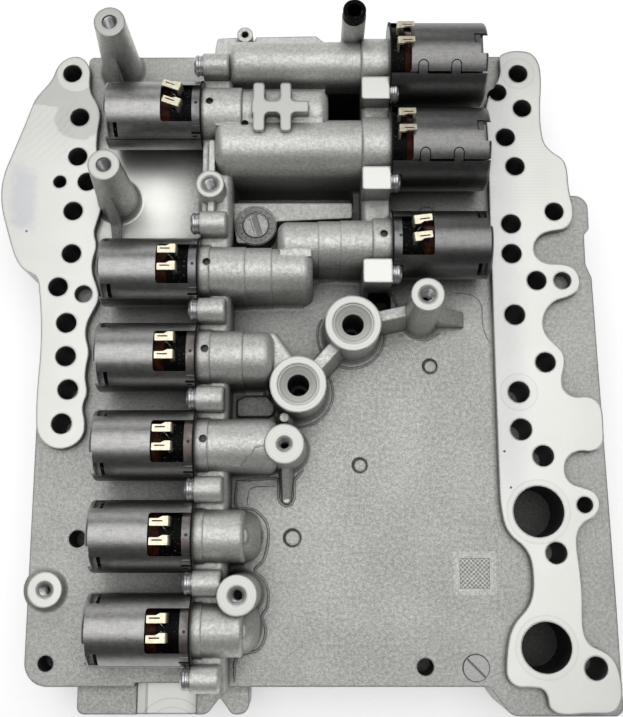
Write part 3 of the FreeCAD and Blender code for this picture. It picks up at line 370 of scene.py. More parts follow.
# Date mark: middle, radii of its two rings
date_place = (-15.1, 49.4)
date_outer_radius = 6.9
date_inner_radius = 4.35


def soft_box(value, low, high, blur):
    """1 between two limits, with soft edges."""
    return value.ramp(low - blur, low + blur) * (1 - value.ramp(high - blur, high + blur))


def flange_marks(finish, place, x, y):
    """Cutter lines, worn seats, pits and dull films on the milled flanges, and painted shade over
    the inner part of the right flange.

    Returns a factor round 1 and the strength of a bluish tint, from a film and from that painted
    shade."""
    factor = 1.0
    for centre_x, centre_y, radius in SEAT_RINGS:
        distance = finish.near(x, y, centre_x, centre_y)
        line = (distance - radius).size() < 0.24
        seat = distance < radius
        factor = factor - seat * 0.03 - line * 0.10
    ragged = finish.noise(place, 0.3, 3.0, 0.6) * 6.0 - 3.0
    cloud = finish.noise(place, 0.03, 3.0, 0.6).ramp(0.35, 0.7)
    swirl = finish.near(x, y, *swirl_place)
    arcs = ((swirl + ragged * 0.4) * 2.6).sine() * 0.5 + 0.5
    swirled = soft_box(x, -104.0, -84.0, 4.0) * soft_box(y, 76.0, 97.0, 3.0)
    factor = factor - arcs * (swirled * 0.045 + cloud * 0.015)
    cutter_lines = ((y * 5.2 + ragged * 0.5).sine() * 0.5 + 0.5) * 0.05
    factor = factor - cutter_lines * soft_box(x, 78.0, 94.0, 3.0) * soft_box(y, 55.0, 95.0, 6.0)
    for centre_x, centre_y in FLANGE_PITS:
        factor = factor - (finish.near(x, y, centre_x, centre_y) < flange_pit_radius) * 0.7
    round_hole = finish.near(x, y, *film_hole) + ragged * 0.5
    above = (y + x * 0.14 + ragged * 0.3 > 84.5) * (finish.near(x, y, *film_bolt) > 7.2)
    film = (1 - round_hole.ramp(8.3, 9.6)).most(above) * (x < -70.0)
    blue = soft_box(x + ragged * 1.1, -105.5, -96.5, 2.6)
    blue = blue * soft_box(y + ragged * 2.0 + x * 0.5, 0.0, 23.0, 3.5)
    # Painted shade: the right flange darker and bluer towards its inner edge
    inner = (1 - x.ramp(74.0, 85.0)) * (x > 60.0) * y.ramp(-70.0, -30.0)
    factor = factor - film * 0.20 - blue * 0.13 - inner * 0.15 - cloud * 0.05
    return factor, blue + inner * 0.5


def tab_marks_and_shade(finish, x, y):
    """Scribed arcs on the tab's milled pad, with painted shade in upright bands and towards its
    right end: a factor round 1.
    """
    distance = finish.near(x, y, *tab_arc_place)
    factor = 1 - x.ramp(-39.0, -34.0) * 0.25
    for radius, half_width in TAB_ARCS:
        factor = factor - ((distance - radius).size() < half_width) * 0.22
    for x_low, x_high, strength in TAB_SHADE_BANDS:
        factor = factor - within(x, x_low, x_high) * strength
    return factor * 0.84


def plate_marks(finish, x, y, z, fine):
    """Ejector outlines, plug rim, etched patch and its generic check on the plate. The ejector
    outlines are dark lines of painted shade, wider on their upper left as a painted shadow.

    Returns a factor round 1."""
    factor = 1.0
    for centre_x, centre_y, radius in EJECTOR_MARKS:
        distance = finish.near(x, y, centre_x, centre_y)
        # Painted shade in each ejector groove, made wider on the upper left side as a painted
        # shadow
        side = ((y - centre_y) - (x - centre_x)) / radius
        factor = factor - ((distance - radius).size() < side * 0.16 + 0.38) * 0.68
    rim = (finish.near(x, y, *plug_place) - plug_radius - 0.18).size() < 0.26
    factor = factor - rim * 0.5
    patch_x, patch_y = patch_place
    square = (x - patch_x).size().most((y - patch_y).size())
    pale = (square < patch_half) * 0.24
    turn = math.pi / check_cell
    cells = ((x * turn).sine() * (y * turn).sine() + (fine - 0.5) * 1.4) > 0.05
    border = (square - check_half).size() < 0.2
    dark = (square < check_half) * cells.most(border) * 0.72
    return factor + (pale - dark) * (z < plate_top + top_slack)


def polish_and_painted_sheen(x, y, z):
    """Brighter corner of the plate between the two posts' solenoids, 0 to 1: a smoother, more
    metallic finish, with a painted reflection of the overhead light brightening its colour.
    """
    across = x.ramp(-77.0, -73.0) * (1 - x.ramp(-52.0, -33.0))
    return across * soft_box(y, 46.0, 82.0, 4.0) * at_height(z, plate_top, flat_slack)


def painted_well_shade(finish, x, y, z, shade):
    """Painted shade: the skin's tone darkened inside ports, tapped holes and deep pockets, and on
    the low pad between two bodies.
    """
    for centre_x, centre_y, radius, share in PORTS:
        inside = (finish.near(x, y, centre_x, centre_y) < radius) * (z < flange_top - top_slack)
        shade = shade * (1 - inside * (1 - share))
    for centre_x, centre_y, mouth, radius, *thread_sizes in TAPPED_HOLES:
        inside = (finish.near(x, y, centre_x, centre_y) < radius + 0.05) * (z < mouth - 0.8)
        shade = shade * (1 - inside * hole_shade)
    for x_low, x_high, y_low, y_high, top in POCKETS:
        inside = within(x, x_low, x_high) * within(y, y_low, y_high) * (z < top)
        shade = shade * (1 - inside * pocket_shade)
    x_low, x_high, y_low, y_high, top = SHADED_PAD
    inside = within(x, x_low, x_high) * within(y, y_low, y_high) * (z < top)
    return shade * (1 - inside * pad_shade)


def date_floor_shade(finish, x, y, z):
    """Darker over the date mark's whole pad, with painted shade on the floor between its raised
    rings and chords and in thin groove lines round the rings.
    """
    x_low, x_high, y_low, y_high = DATE_PAD
    pad = at_height(z, date_pad_top, flat_slack)
    pad = pad * within(x, x_low, x_high) * within(y, y_low, y_high)
    distance = finish.near(x, y, *date_place)
    band = (distance > date_inner_radius + 0.2) * (distance < date_outer_radius - 0.2)
    middle = (distance < date_inner_radius) * ((x + y * 0.3 - 0.1).size() < 1.2)
    outline = (distance - date_outer_radius - 0.4).size() < 0.16
    outline = outline.most((distance - date_inner_radius - 0.42).size() < 0.14)
    return 1 - pad * 0.30 - pad * band.most(middle) * 0.34 - pad * outline * 0.35


def ring_seats(finish, x, y, z):
    """Counterbored seats: where they are, and their tone with turned rings."""
    seat = 0.0
    tone = 0.0
    for centre_x, centre_y in RING_SEATS:
        distance = finish.near(x, y, centre_x, centre_y)
        here = within(distance, seat_inner_radius, seat_outer_radius)
        here = here * within(z, seat_low, seat_high)
        turned = (distance * seat_line_rate).sine() * 0.05 + 0.74
        edge = ((distance - seat_line_radius).size() < 0.16) * 0.22
        seat = here + seat
        tone = here * (turned - edge) + tone
    return seat, tone


def cast_aluminium():
    """Die-cast skin of fine bright grain, with milled faces where the casting is machined."""
    finish = Finish("cast_aluminium")
    place = finish.place()
    x, y, z = finish.axes(place)
    up = finish.upness()
    level = milled_level(finish, x, y, z, up)
    seat, seat_tone = ring_seats(finish, x, y, z)
    # Painted reflection on the plate's smoother corner between the posts, together with its lower
    # roughness
    polish_and_sheen = polish_and_painted_sheen(x, y, z)
    level = level.most((polish_and_sheen > 0.01) * 0.72)
    milled = (level > 0.1).most(seat) * (1 - (polish_and_sheen > 0.01)) + polish_and_sheen * 0.9
    soft = finish.rounded(cast_edge)
    fine = finish.noise(place, 1.9, 2.0, 0.7)
    grain = finish.noise(place, 0.8, 3.0, 0.62)
    cloud = finish.noise(place, 0.045, 3.0, 0.55)
    speckle = (fine * 0.5 + grain * 0.5).ramp(0.36, 0.66)
    tone = speckle * 0.7 + cloud.ramp(0.3, 0.7) * 0.3
    # Painted shade: ambient occlusion darkens the skin's colour in holes, grooves, corners and
    # round the bodies' feet
    depth = finish.openness(20.0).ramp(0.03, 0.7)
    on_plate = 1 - z.ramp(29.6, 32.5)
    plate_tone = (tone * 0.21 + 0.345) * plate_marks(finish, x, y, z, fine)
    body_tone = (tone * 0.32 + 0.51) * date_floor_shade(finish, x, y, z)
    skin_tone = plate_tone * on_plate + body_tone * (1 - on_plate)
    lathe = finish.noise(finish.stretched(place, (0.3, 0.05, 0.2)), 2.0, 3.0, 0.6)
    on_flange = at_height(z, flange_top, flat_slack)
    marks, blue = flange_marks(finish, place, x, y)
    on_tab = (z < tab_top) * (y < tab_edge_y)
    marks = (marks - 1) * on_flange + 1
    marks = marks * (1 - on_tab) + tab_marks_and_shade(finish, x, y) * on_tab
    milled_tone = level * (lathe * 0.06 + 0.97) * marks
    milled_tone = milled_tone * (1 - seat) + seat_tone
    shade = skin_tone * (1 - milled) + milled_tone * milled
    # Painted shade from the ambient occlusion, lighter in the ring seats
    shade = shade * (depth * (1 - seat * 0.55) * 0.9 + seat * 0.5 + 0.1)
    shade = painted_well_shade(finish, x, y, z, shade)
    blue = blue * on_flange
    red_share = 1.004 - blue * 0.02
    blue_share = blue * 0.06 + 0.955
    colour = finish.tint(shade * red_share, shade, shade * blue_share)
    relief = (fine * 0.5 + grain * 0.5) * (1 - milled * 0.96)
    finish.set(
        Base_Color=colour,
        Metallic=milled * 0.37 + 0.55 - seat * 0.72,
        Roughness=(0.52 - speckle * 0.12) * (1 - milled) + (0.30 + lathe * 0.06) * milled,
        Normal=finish.bump(relief, 0.15, soft),
    )
    return finish.material


def can_steel():
    """Rolled steel of the solenoid cans: satin, finely mottled, with painted shade making the cans
    on the right side darker.
    """
    finish = Finish("can_steel")
    place = finish.place()
    x, y, z = finish.axes(place)
    mottle = finish.noise(place, 0.5, 4.0, 0.65)
    fine = finish.noise(place, 2.4, 2.0, 0.7)
    drawn = finish.noise(finish.stretched(place, (0.2, 1.0, 1.0)), 1.4, 3.0, 0.6)
    tone = (mottle * 0.4 + fine * 0.35 + drawn * 0.25).ramp(0.36, 0.66)
    pits = (finish.noise(place, 0.9, 2.0, 0.5) > 0.735) * 0.6
    # Painted shade: the right side's cans darker, because their highlight is dimmer
    level = (tone * 0.13 + 0.28) * (1 - (x > 0.0) * 0.42) * (1 - pits)
    finish.set(
        Base_Color=finish.tint(level * 1.01, level, level * 0.985),
        Metallic=1.0,
        Roughness=0.31 + mottle * 0.10,
        Normal=finish.bump(fine * 0.6 + mottle * 0.4, 0.04),
    )
    return finish.material


def turned_marks(finish, place):
    """Fine rings round an axis along x, and patches of wear, both from 0 to 1."""
    rings = finish.noise(finish.stretched(place, (6.0, 0.05, 0.05)), 1.0, 3.0, 0.6)
    wear = finish.noise(place, 0.35, 3.0, 0.6)
    return rings, wear


def turned_steel(name, level, roughness):
    """Turned or ground steel with fine rings round its axis along x."""
    finish = Finish(name)
    rings, wear = turned_marks(finish, finish.place())
    finish.set(
        Base_Color=finish.mix(wear.ramp(0.3, 0.75), grey(level * 0.75), grey(level)),
        Metallic=1.0,
        Roughness=roughness + wear * 0.12,
        Normal=finish.bump(rings, 0.012),
    )
    return finish.material


# Punched dot on each pole core's collar: distance from the plane between the two rows, radius
collar_dot_x = 35.6
collar_dot_radius = 0.55


def collar_steel():
    """Pole cores: turned collars, browned by a thin rust bloom on the lower left ones."""
    finish = Finish("pole_steel")
    place = finish.place()
    x, y, z = finish.axes(place)
    rings, wear = turned_marks(finish, place)
    bloom = finish.noise(place, 0.28, 3.0, 0.6).ramp(0.35, 0.62) * (x < -30.0) * (y < 12.0)
    steel = finish.mix(wear.ramp(0.3, 0.75), grey(0.17), grey(0.27))
    browned = finish.mix(bloom * 0.75, steel, (0.20, 0.145, 0.12, 1))
    dots = 0.0
    for side, axis_y, size in SOLENOIDS:
        distance = finish.near(x, y, side * collar_dot_x, axis_y + 0.3)
        dots = (distance < collar_dot_radius) * (z > 50.0) + dots
    finish.set(
        Base_Color=finish.mix(dots * 0.85, browned, (0.01, 0.01, 0.01, 1)),
        Metallic=1.0 - bloom * 0.4,
        Roughness=0.34 + wear * 0.14 + bloom * 0.12,
        Normal=finish.bump(rings, 0.012),
    )
    return finish.material


def sheet_steel():
    """Rolled sheet of the separator plate, its grain along x."""
    finish = Finish("separator_steel")
    place = finish.place()
    rolled = finish.noise(finish.stretched(place, (0.03, 1.2, 1.2)), 2.0, 3.0, 0.6)
    finish.set(
        Base_Color=finish.mix(rolled.ramp(0.3, 0.7), grey(0.24), grey(0.38)),
        Metallic=1.0,
        Roughness=0.34 + rolled * 0.14,
        Normal=finish.bump(rolled, 0.01),
    )
    return finish.material


def zinc_plate(name, level):
    """Bright zinc on the screws, with a dull bloom in places."""
    finish = Finish(name)
    place = finish.place()
    bloom = finish.noise(place, 0.9, 4.0, 0.6)
    fine = finish.noise(place, 5.0, 2.0, 0.6)
    finish.set(
        Base_Color=finish.mix(bloom.ramp(0.35, 0.7), grey(level, -0.01), grey(level * 0.7, 0.01)),
        Metallic=0.8,
        Roughness=0.22 + bloom * 0.2,
        Normal=finish.bump(fine, 0.008),
    )
    return finish.material


def black_plastic(name, roughness):
    """Black moulded plastic with a few pale specks of painted glint."""
    finish = Finish(name)
    place = finish.place()
    fine = finish.noise(place, 3.0, 3.0, 0.6)
    # Painted glints: pale specks that stand in for small highlights
    painted_glint = finish.noise(place, 1.5, 3.0, 0.6).ramp(0.65, 0.70)
    finish.set(
        Base_Color=finish.mix(painted_glint, (0.002, 0.002, 0.002, 1), (0.20, 0.19, 0.17, 1)),
        Roughness=roughness + fine * 0.12,
        Specular_IOR_Level=0.05,
        Normal=finish.bump(fine, 0.02),
    )
    return finish.material


def winding_lacquer():
    """Close turns of lacquered copper wire, dark red where the lacquer is thick."""
    finish = Finish("winding_copper")
    place = finish.place()
    drift = finish.noise(place, 0.5, 2.0, 0.5)
    fine = finish.noise(place, 2.2, 3.0, 0.6)
    tone = fine * 0.4 + drift.ramp(0.35, 0.7) * 0.6
    finish.set(
        Base_Color=finish.mix(tone, (0.012, 0.004, 0.003, 1), (0.12, 0.032, 0.012, 1)),
        Metallic=0.35,
        Roughness=0.22,
        Coat_Weight=0.9,
        Coat_Roughness=0.08,
        Normal=finish.bump(fine, 0.02),
    )
    return finish.material


def contact_gold():
    """Pale tin-brass of the contact blades."""
    finish = Finish("terminal_brass")
    place = finish.place()
    rub = finish.noise(finish.stretched(place, (0.2, 1.5, 1.0)), 2.2, 3.0, 0.6)
    cloud = finish.noise(place, 0.8, 3.0, 0.6)
    finish.set(
        Base_Color=finish.mix(cloud.ramp(0.3, 0.7), (0.72, 0.65, 0.48, 1), (0.86, 0.81, 0.66, 1)),
        Metallic=0.8,
        Roughness=0.30 + rub * 0.2,
        Normal=finish.bump(rub, 0.02),
    )
    return finish.material


def plug_aluminium():
    """Flush plug: cast tone, with painted shade darkening its slot."""
    finish = Finish("plug_aluminium")
    place = finish.place()
    x, y, z = finish.axes(place)
    fine = finish.noise(place, 1.6, 3.0, 0.65)
    # Painted shade down in the slot
    painted_slot_shade = z < plate_top + plug_stand - top_slack
    level = (fine.ramp(0.35, 0.65) * 0.10 + 0.36) * (1 - painted_slot_shade * 0.6)
    finish.set(
        Base_Color=finish.tint(level, level, level * 0.985),
        Metallic=0.6,
        Roughness=0.42,
        Normal=finish.bump(fine, 0.05),
    )
    return finish.material


def thread_aluminium():
    """Cut thread flanks: clean bright metal."""
    finish = Finish("thread_aluminium")
    place = finish.place()
    fine = finish.noise(place, 3.0, 2.0, 0.6)
    finish.set(
        Base_Color=finish.mix(fine, grey(0.50), grey(0.68)),
        Metallic=0.9,
        Roughness=0.24 + fine * 0.1,
        Normal=finish.bump(fine, 0.01),
    )
    return finish.material


def joint_and_slot_black():
    """Near-black for the dark joints round the cans, and painted shade for the slots at a small
    can's mouth.
    """
    finish = Finish("joint_black_and_slot_shade")
    place = finish.place()
    fine = finish.noise(place, 2.0, 2.0, 0.6)
    finish.set(
        Base_Color=finish.mix(fine, grey(0.004), grey(0.012)),
        Roughness=0.5 + fine * 0.2,
        Specular_IOR_Level=0.15,
        Normal=finish.bump(fine, 0.01),
    )
    return finish.material


def dress(nodes, material):
    """Gives CAD nodes a finish through their own material slots."""
    for node in nodes:
        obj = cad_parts[node]
        for slot in obj.material_slots:
            slot.link = "OBJECT"
            slot.material = material


def named(*starts):
    """CAD nodes whose names start in one of the given ways."""
    return [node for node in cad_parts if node.startswith(starts)]


def dress_all(casting, zinc, lacquer, steel, gold):
    """A finish for every CAD node."""
    dress(named("valve_housing", "channel_plate"), casting)
    dress(named("separator_plate"), sheet_steel())
    dress(named("can_"), steel)
    dress(named("pole_core_"), collar_steel())
    ground = turned_steel("armature_steel", 0.42, 0.26)
    dress(named("armature_", "return_springs", "dowels"), ground)
    dress(named("spool_"), turned_steel("spool_aluminium", 0.62, 0.28))
    dress(named("slotted_plug"), plug_aluminium())
    dress(named("cross_pins"), turned_steel("pin_steel", 0.07, 0.35))
    dress(named("retaining_screws"), zinc)
    dress(named("case_screws"), zinc_plate("case_screw_steel", 0.2))
    dress(named("coil_former_"), black_plastic("former_plastic", 0.36))
    dress(named("tube_sleeve"), black_plastic("sleeve_plastic", 0.4))
    dress(named("windings"), lacquer)
    dress(named("terminals"), gold)


# Small pieces on the casting

# Edges sharper than this stay sharp
crease_angle = math.radians(35)


def shell(grid, closed_path):
    """Skin over a grid of points (steps along a path, points round a ring, 3).

    Quads join each ring to the next; a path that doesn't close gets a flat cap at each end.
    Faces are turned outwards by the sign of the enclosed volume."""
    steps, around, _ = grid.shape
    count = steps if closed_path else steps - 1
    i, j = np.meshgrid(np.arange(count), np.arange(around), indexing="ij")
    next_i = (i + 1) % steps
    next_j = (j + 1) % around
    corners = [i * around + j, next_i * around + j, next_i * around + next_j, i * around + next_j]
    quads = np.stack(corners, axis=-1).reshape(-1, 4)
    points = grid.reshape(-1, 3)
    faces = quads.tolist()
    if not closed_path:
        faces.append(list(range(around)))
        faces.append([(steps - 1) * around + k for k in range(around - 1, -1, -1)])
    a, b, c, d = (points[quads[:, k]] for k in range(4))
    centre = points.mean(axis=0)
    volume = np.sum(np.cross(b - a, d - b) * ((a + b + c + d) / 4 - centre))
    if volume < 0:
        faces = [face[::-1] for face in faces]
    return points, faces


def piece(name, shells, material, replaced=()):
    """One object from closed shells, in millimetres, riding on the housing."""
    points = []
    faces = []
    start = 0
    for shell_points, shell_faces in shells:
        points.append(shell_points)
        faces += [[index + start for index in face] for face in shell_faces]
        start += len(shell_points)
    mesh = bpy.data.meshes.new(name)
    mesh.from_pydata((np.concatenate(points) * MM).tolist(), [], faces)
    mesh.materials.append(material)
    obj = bpy.data.objects.new(name, mesh)
    bpy.context.collection.objects.link(obj)
    mesh.shade_smooth()
    mesh.set_sharp_from_angle(angle=crease_angle)
    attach(obj, "housing")
    if replaced:
        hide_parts(*replaced)


def turned_ring(profile, centre, axis, steps):
    """Ring with the profile of (radius, height along the axis) pairs turned about x or z."""
    angle = np.linspace(0, 2 * np.pi, steps, endpoint=False)[:, None]
    radius = np.array([point[0] for point in profile])[None, :]
    along = np.array([point[1] for point in profile])[None, :] + 0 * angle
    first = radius * np.cos(angle)
    second = radius * np.sin(angle)
    order = (along, first, second) if axis == "x" else (first, second, along)
    return shell(np.stack(order, axis=-1) + np.array(centre), True)


def thread(x, y, mouth, radius, pitch, first, last):
    """Helical ridge in a hole: a flat-topped triangle carried along
    (r cos a, r sin a, mouth - depth - pitch a / 2 pi)."""
    turns = (last - first) / pitch
    angle = np.linspace(0, 2 * np.pi * turns, int(turns * 30))[:, None]
    reach = np.array([0.06, -0.42, -0.42, 0.06])[None, :] + radius
    rise = np.array([0.34, 0.08, -0.08, -0.34])[None, :] * pitch
    z = mouth - first - pitch * angle / (2 * np.pi) + rise
    grid = np.stack([x + reach * np.cos(angle), y + reach * np.sin(angle), z], axis=-1)
    return shell(grid, False)


def threads(material):
    """Cut threads of the seven tapped holes."""
    shells = [thread(*hole) for hole in TAPPED_HOLES]
    piece("threads", shells, material)


def bead(low, high, base, crest):
    """Half-round bead as (radius, place along the axis) pairs, its foot sunk by 0.3 mm."""
    angle = np.linspace(0, np.pi, 7)
    middle = (low + high) / 2
    arch = [(base + (crest - base) * math.sin(a), middle - (high - low) / 2 * math.cos(a))
            for a in angle]
    return arch + [(base - 0.3, high), (base - 0.3, low)]


# Beads on a retaining screw's head: first and last place from the face, radius of the crest
SCREW_BEADS = [(0.25, 1.0, 3.72), (1.45, 2.75, 3.76)]
screw_head_radius = 3.45


def screw_beads(material):
    """Two rolled beads round each retaining screw's head."""
    shells = []
    places = [(-1, y) for y in LEFT_SCREWS] + [(1, y) for y in RIGHT_SCREWS]
    for side, y in places:
        for low, high, crest in SCREW_BEADS:
            section = bead(low, high, screw_head_radius, crest)
            profile = [(radius, side * along) for radius, along in section]
            shells.append(turned_ring(profile, (housing_face(side), y, screw_z), "x", 48))
    piece("screw_beads", shells, material)


# Winding: first and last place from the housing's face, outer radius, for each size
WINDINGS = {"small": (10.75, 29.85, 9.65), "large": (5.15, 29.85, 12.35)}
winding_inner_radius = 6.65
wire_pitch = 0.55
wire_height = 0.22


def winding(side, y, size):
    """Coil of wire as a turned ring whose outline rises and falls once a turn of wire."""
    first, last, outer = WINDINGS[size]
    turns = int((last - first) / wire_pitch)
    along = np.linspace(first, last, turns * 4 + 1)
    wave = np.abs(np.sin(np.pi * (along - first) / (last - first) * turns))
    profile = [(winding_inner_radius, side * first)]
    profile += [(outer - wire_height * (1 - w), side * u) for u, w in zip(along, wave)]
    profile.append((winding_inner_radius, side * last))
    return turned_ring(profile, (housing_face(side), y, axis_z), "x", 40)


def winding_turns(material):
    """The nine windings, in place of their plain rings."""
    shells = [winding(*solenoid) for solenoid in SOLENOIDS]
    piece("winding_turns", shells, material, ("windings",))


def smooth_path(points, steps):
    """Curve through the points: cubic spans whose slope at a point is half the way
    from the point before to the point after."""
    points = np.array(points, dtype=float)
    ends = np.vstack([2 * points[0] - points[1], points, 2 * points[-1] - points[-2]])
    t = np.linspace(0, 1, steps, endpoint=False)[None, :, None]
    p0, p1, p2, p3 = (ends[k:len(ends) - 3 + k, None, :] for k in range(4))
    slope_1 = (p2 - p0) / 2
    slope_2 = (p3 - p1) / 2
    spans = (p1 * (2 * t ** 3 - 3 * t ** 2 + 1) + slope_1 * (t ** 3 - 2 * t ** 2 + t)
             + p2 * (3 * t ** 2 - 2 * t ** 3) + slope_2 * (t ** 3 - t ** 2))
    return np.vstack([spans.reshape(-1, 3), points[-1:]])


def ridge(points, width, height, lean=(0.0, 0.0, 1.0)):
    """Low ridge along a smooth path: a flat-topped profile across the path, its foot sunk
    0.15 mm along the direction in which it stands."""
    path = smooth_path(points, 8)
    ahead = np.gradient(path, axis=0)
    up = np.array(lean) / np.linalg.norm(lean)
    across = np.cross(ahead, up)
    across /= np.linalg.norm(across, axis=1)[:, None]
    sides = np.array([-0.5, -0.18, 0.18, 0.5])[None, :, None] * width
    rises = np.array([-0.15, height, height, -0.15])[None, :, None]
    taper = np.minimum(1, np.minimum(np.arange(len(path)), np.arange(len(path))[::-1]) / 4 + 0.25)
    grid = path[:, None, :] + across[:, None, :] * sides * taper[:, None, None] + up * rises
    return shell(grid, False)


# Lines left by the die on the plate, as points (x, y)
DIE_LINES = [
    [(55.8, 26.3), (63.1, 25.5), (66.6, 21.8), (67.1, 13.6), (69.3, 7.3)],
    [(-17.6, -50.3), (-16.9, -45.5), (-14.6, -44.0), (-7.9, -43.7)],
]
# Edges of the thicker ground round the bodies' feet, as points (x, y)
FOOT_LINES = [
    [(-23.5, 21.4), (-13.0, 22.3), (-1.3, 22.3), (1.7, 24.6), (3.7, 28.0), (7.2, 30.1),
     (14.7, 30.8)],
    [(-21.2, -41.4), (-21.2, -50.6), (-15.1, -51.9), (-10.8, -56.2), (-10.0, -62.0), (-11.6, -69.0),
     (-14.6, -72.6), (-11.6, -75.7), (-10.0, -79.7), (-10.2, -85.0), (-12.0, -88.2), (-10.6, -93.0),
     (-13.0, -99.0), (-20.4, -101.7), (-21.2, -109.8)],
    [(-21.2, -41.8), (-8.6, -41.0), (-6.6, -42.4), (-6.4, -48.2), (-3.7, -50.6), (-1.1, -48.2),
     (-0.9, -41.8), (2.3, -38.0)],
    [(33.6, 27.0), (36.8, 20.0), (39.5, 12.0), (45.5, 8.8), (51.5, 11.2)],
]
# Ground round each ring boss: radius of the arc, first and last angle in degrees
ring_foot_radius = 12.2
ring_foot_arc = (150, 395)
# Ragged cast flash on the fourth left body, as points (x, y, z)
FLASH_LINE = [
    (-10.0, -31.5, 53.9), (-12.2, -32.0, 53.9), (-13.8, -32.5, 53.8), (-14.9, -34.3, 53.2),
    (-16.2, -35.1, 52.8), (-16.9, -36.2, 52.1), (-18.1, -37.4, 51.0), (-18.7, -38.1, 50.2),
    (-20.3, -38.1, 50.2), (-22.1, -38.3, 49.9),
]


def flash_line(material):
    """Thin raised line of flash, leaning out with the body's flank."""
    line = ridge(FLASH_LINE, 0.55, 0.3, (0.0, -0.35, 0.94))
    piece("flash_line", [line], material)


def on_plate(line):
    """Points of a line in plan, put on the plate's top."""
    return [(x, y, plate_top) for x, y in line]


def foot_lines(material):
    """Low edges round the feet of the bodies and the ring bosses."""
    shells = [ridge(on_plate(line), 1.3, 0.32) for line in FOOT_LINES]
    angle = np.radians(np.linspace(*ring_foot_arc, 15))
    for x, y in RING_SEATS:
        arc = zip(x + ring_foot_radius * np.cos(angle), y + ring_foot_radius * np.sin(angle))
        shells.append(ridge(on_plate(arc), 1.2, 0.3))
    piece("foot_lines", shells, material)


def die_lines(material):
    """Fine raised lines on the plate."""
    shells = [ridge(on_plate(line), 0.5, 0.14) for line in DIE_LINES]
    piece("die_lines", shells, material)


def bar(start, end, z, width, height):
    """Short straight raised bar with sloping sides between two points (x, y)."""
    return ridge([start + (z,), end + (z,)], width, height)


# Date mark: number of ticks, their inner end and the outer ends of long and short ones, and
# the chords' distance from the middle and their slant
date_ticks = 18
tick_start = 5.15
tick_end = 6.2
short_tick_end = 5.8
chord_offset = 1.3
chord_slant = math.radians(17.5)


def date_mark(material):
    """Plain round date mark: two raised rings, radial ticks between them and two chords."""
    x, y = date_place
    shells = []
    for radius in (date_outer_radius, date_inner_radius):
        profile = [(radius - 0.3, -0.2), (radius - 0.12, 0.28), (radius + 0.12, 0.28),
                   (radius + 0.3, -0.2)]
        shells.append(turned_ring(profile, (x, y, date_pad_top), "z", 96))
    for index in range(date_ticks):
        angle = math.tau * (index + 0.5) / date_ticks
        reach = (tick_start, tick_end if index % 3 else short_tick_end)
        start, end = [(x + r * math.cos(angle), y + r * math.sin(angle)) for r in reach]
        shells.append(bar(start, end, date_pad_top, 0.62, 0.24))
    across = math.cos(chord_slant)
    along = math.sin(chord_slant)
    for offset in (-chord_offset, chord_offset):
        half = math.sqrt(date_inner_radius ** 2 - offset ** 2) - 0.3
        middle = (x + offset * across, y + offset * along)
        start = (middle[0] - half * along, middle[1] + half * across)
        end = (middle[0] + half * along, middle[1] - half * across)
        shells.append(bar(start, end, date_pad_top, 0.42, 0.2))
    piece("date_mark", shells, material)


def patch_on_can(side, y, radius, first, last, low_angle, high_angle, rise):
    """Curved plate on a can: between two places along it and two angles from the top,
    from 0.15 mm under the can's surface to the given rise above it."""
    angle = np.radians(np.linspace(low_angle, high_angle, 7))[:, None]
    reach = radius + np.array([-0.15, rise, rise, -0.15])[None, :]
    along = np.array([first, first, last, last])[None, :] + 0 * angle
    grid = np.stack([housing_face(side) + side * along, y - reach * np.sin(angle),
                     axis_z + reach * np.cos(angle)], axis=-1)
    return shell(grid, False)


# At a small can's mouth: first and last place from the housing's face, first and last angle
# from the can's top in degrees, rise above the can
MOUTH_LUG = (0.35, 3.1, 40.0, 48.0, 0.28)
# Slots drawn as thin black patches of painted shade
MOUTH_SLOTS = [(0.5, 3.7, 50.5, 55.0, 0.05), (1.6, 3.3, 58.0, 60.5, 0.05)]


def mouth_details(steel, black):
    """Crimped lug at the mouth of each small can, on its lower side, and thin black patches of
    painted shade where its slots are.
    """
    lugs = []
    slots = []
    radius = CAN_RADIUS["small"]
    for side, y in small_solenoids():
        lugs.append(patch_on_can(side, y, radius, *MOUTH_LUG))
        slots += [patch_on_can(side, y, radius, *slot) for slot in MOUTH_SLOTS]
    piece("mouth_lugs", lugs, steel)
    piece("mouth_slots", slots, black)


# Blunt noses that carry the lower two bodies down to the plate: y of the bodies, first and
# last x, half width, height at each end, and how deep they reach into the plate
NOSE_BODIES = [-61.1, -91.4]
nose_start_x = -21.5
nose_end_x = -12.4
nose_half_width = 9.1
nose_heights = (23.4, 14.0)
nose_sink = 0.8


def noses(material):
    """Noses with the cross-section (w cos t, h sin t) above the plate. Along the share u of
    the length the half width w shrinks as (1 - u^3)^(1/3) and the height h falls evenly
    between its two values, times (1 - u^6)^(1/6)."""
    shells = []
    u = (1 - (1 - np.linspace(0, 0.999, 30)) ** 1.8)[:, None]
    t = np.linspace(0, np.pi, 25)[None, :]
    width = nose_half_width * (1 - u ** 3) ** (1 / 3)
    height = (nose_heights[0] * (1 - u) + nose_heights[1] * u) * (1 - u ** 6) ** (1 / 6)
    x = nose_start_x + (nose_end_x - nose_start_x) * u + 0 * t
    z = plate_top - nose_sink + height * np.sin(t)
    for y in NOSE_BODIES:
        grid = np.stack([x, y + width * np.cos(t), z], axis=-1)
        shells.append(shell(grid, False))
    piece("body_noses", shells, material)


# Places of the tapped boss with the taller top, and of the small ring on the plate
collar_boss = (-4.0, -31.2, 0.0)
plate_ring_place = (47.8, 56.4, plate_top)


def boss_collar(material):
    """Taller top of the tapped boss by the fourth left body, which stands clear of that
    body's crown."""
    profile = [(1.9, 49.0), (6.75, 49.0), (6.75, 54.1), (6.45, 54.4), (2.7, 54.4), (1.9, 53.6)]
    ring = turned_ring(profile, collar_boss, "z", 64)
    piece("boss_collar", [ring], material)


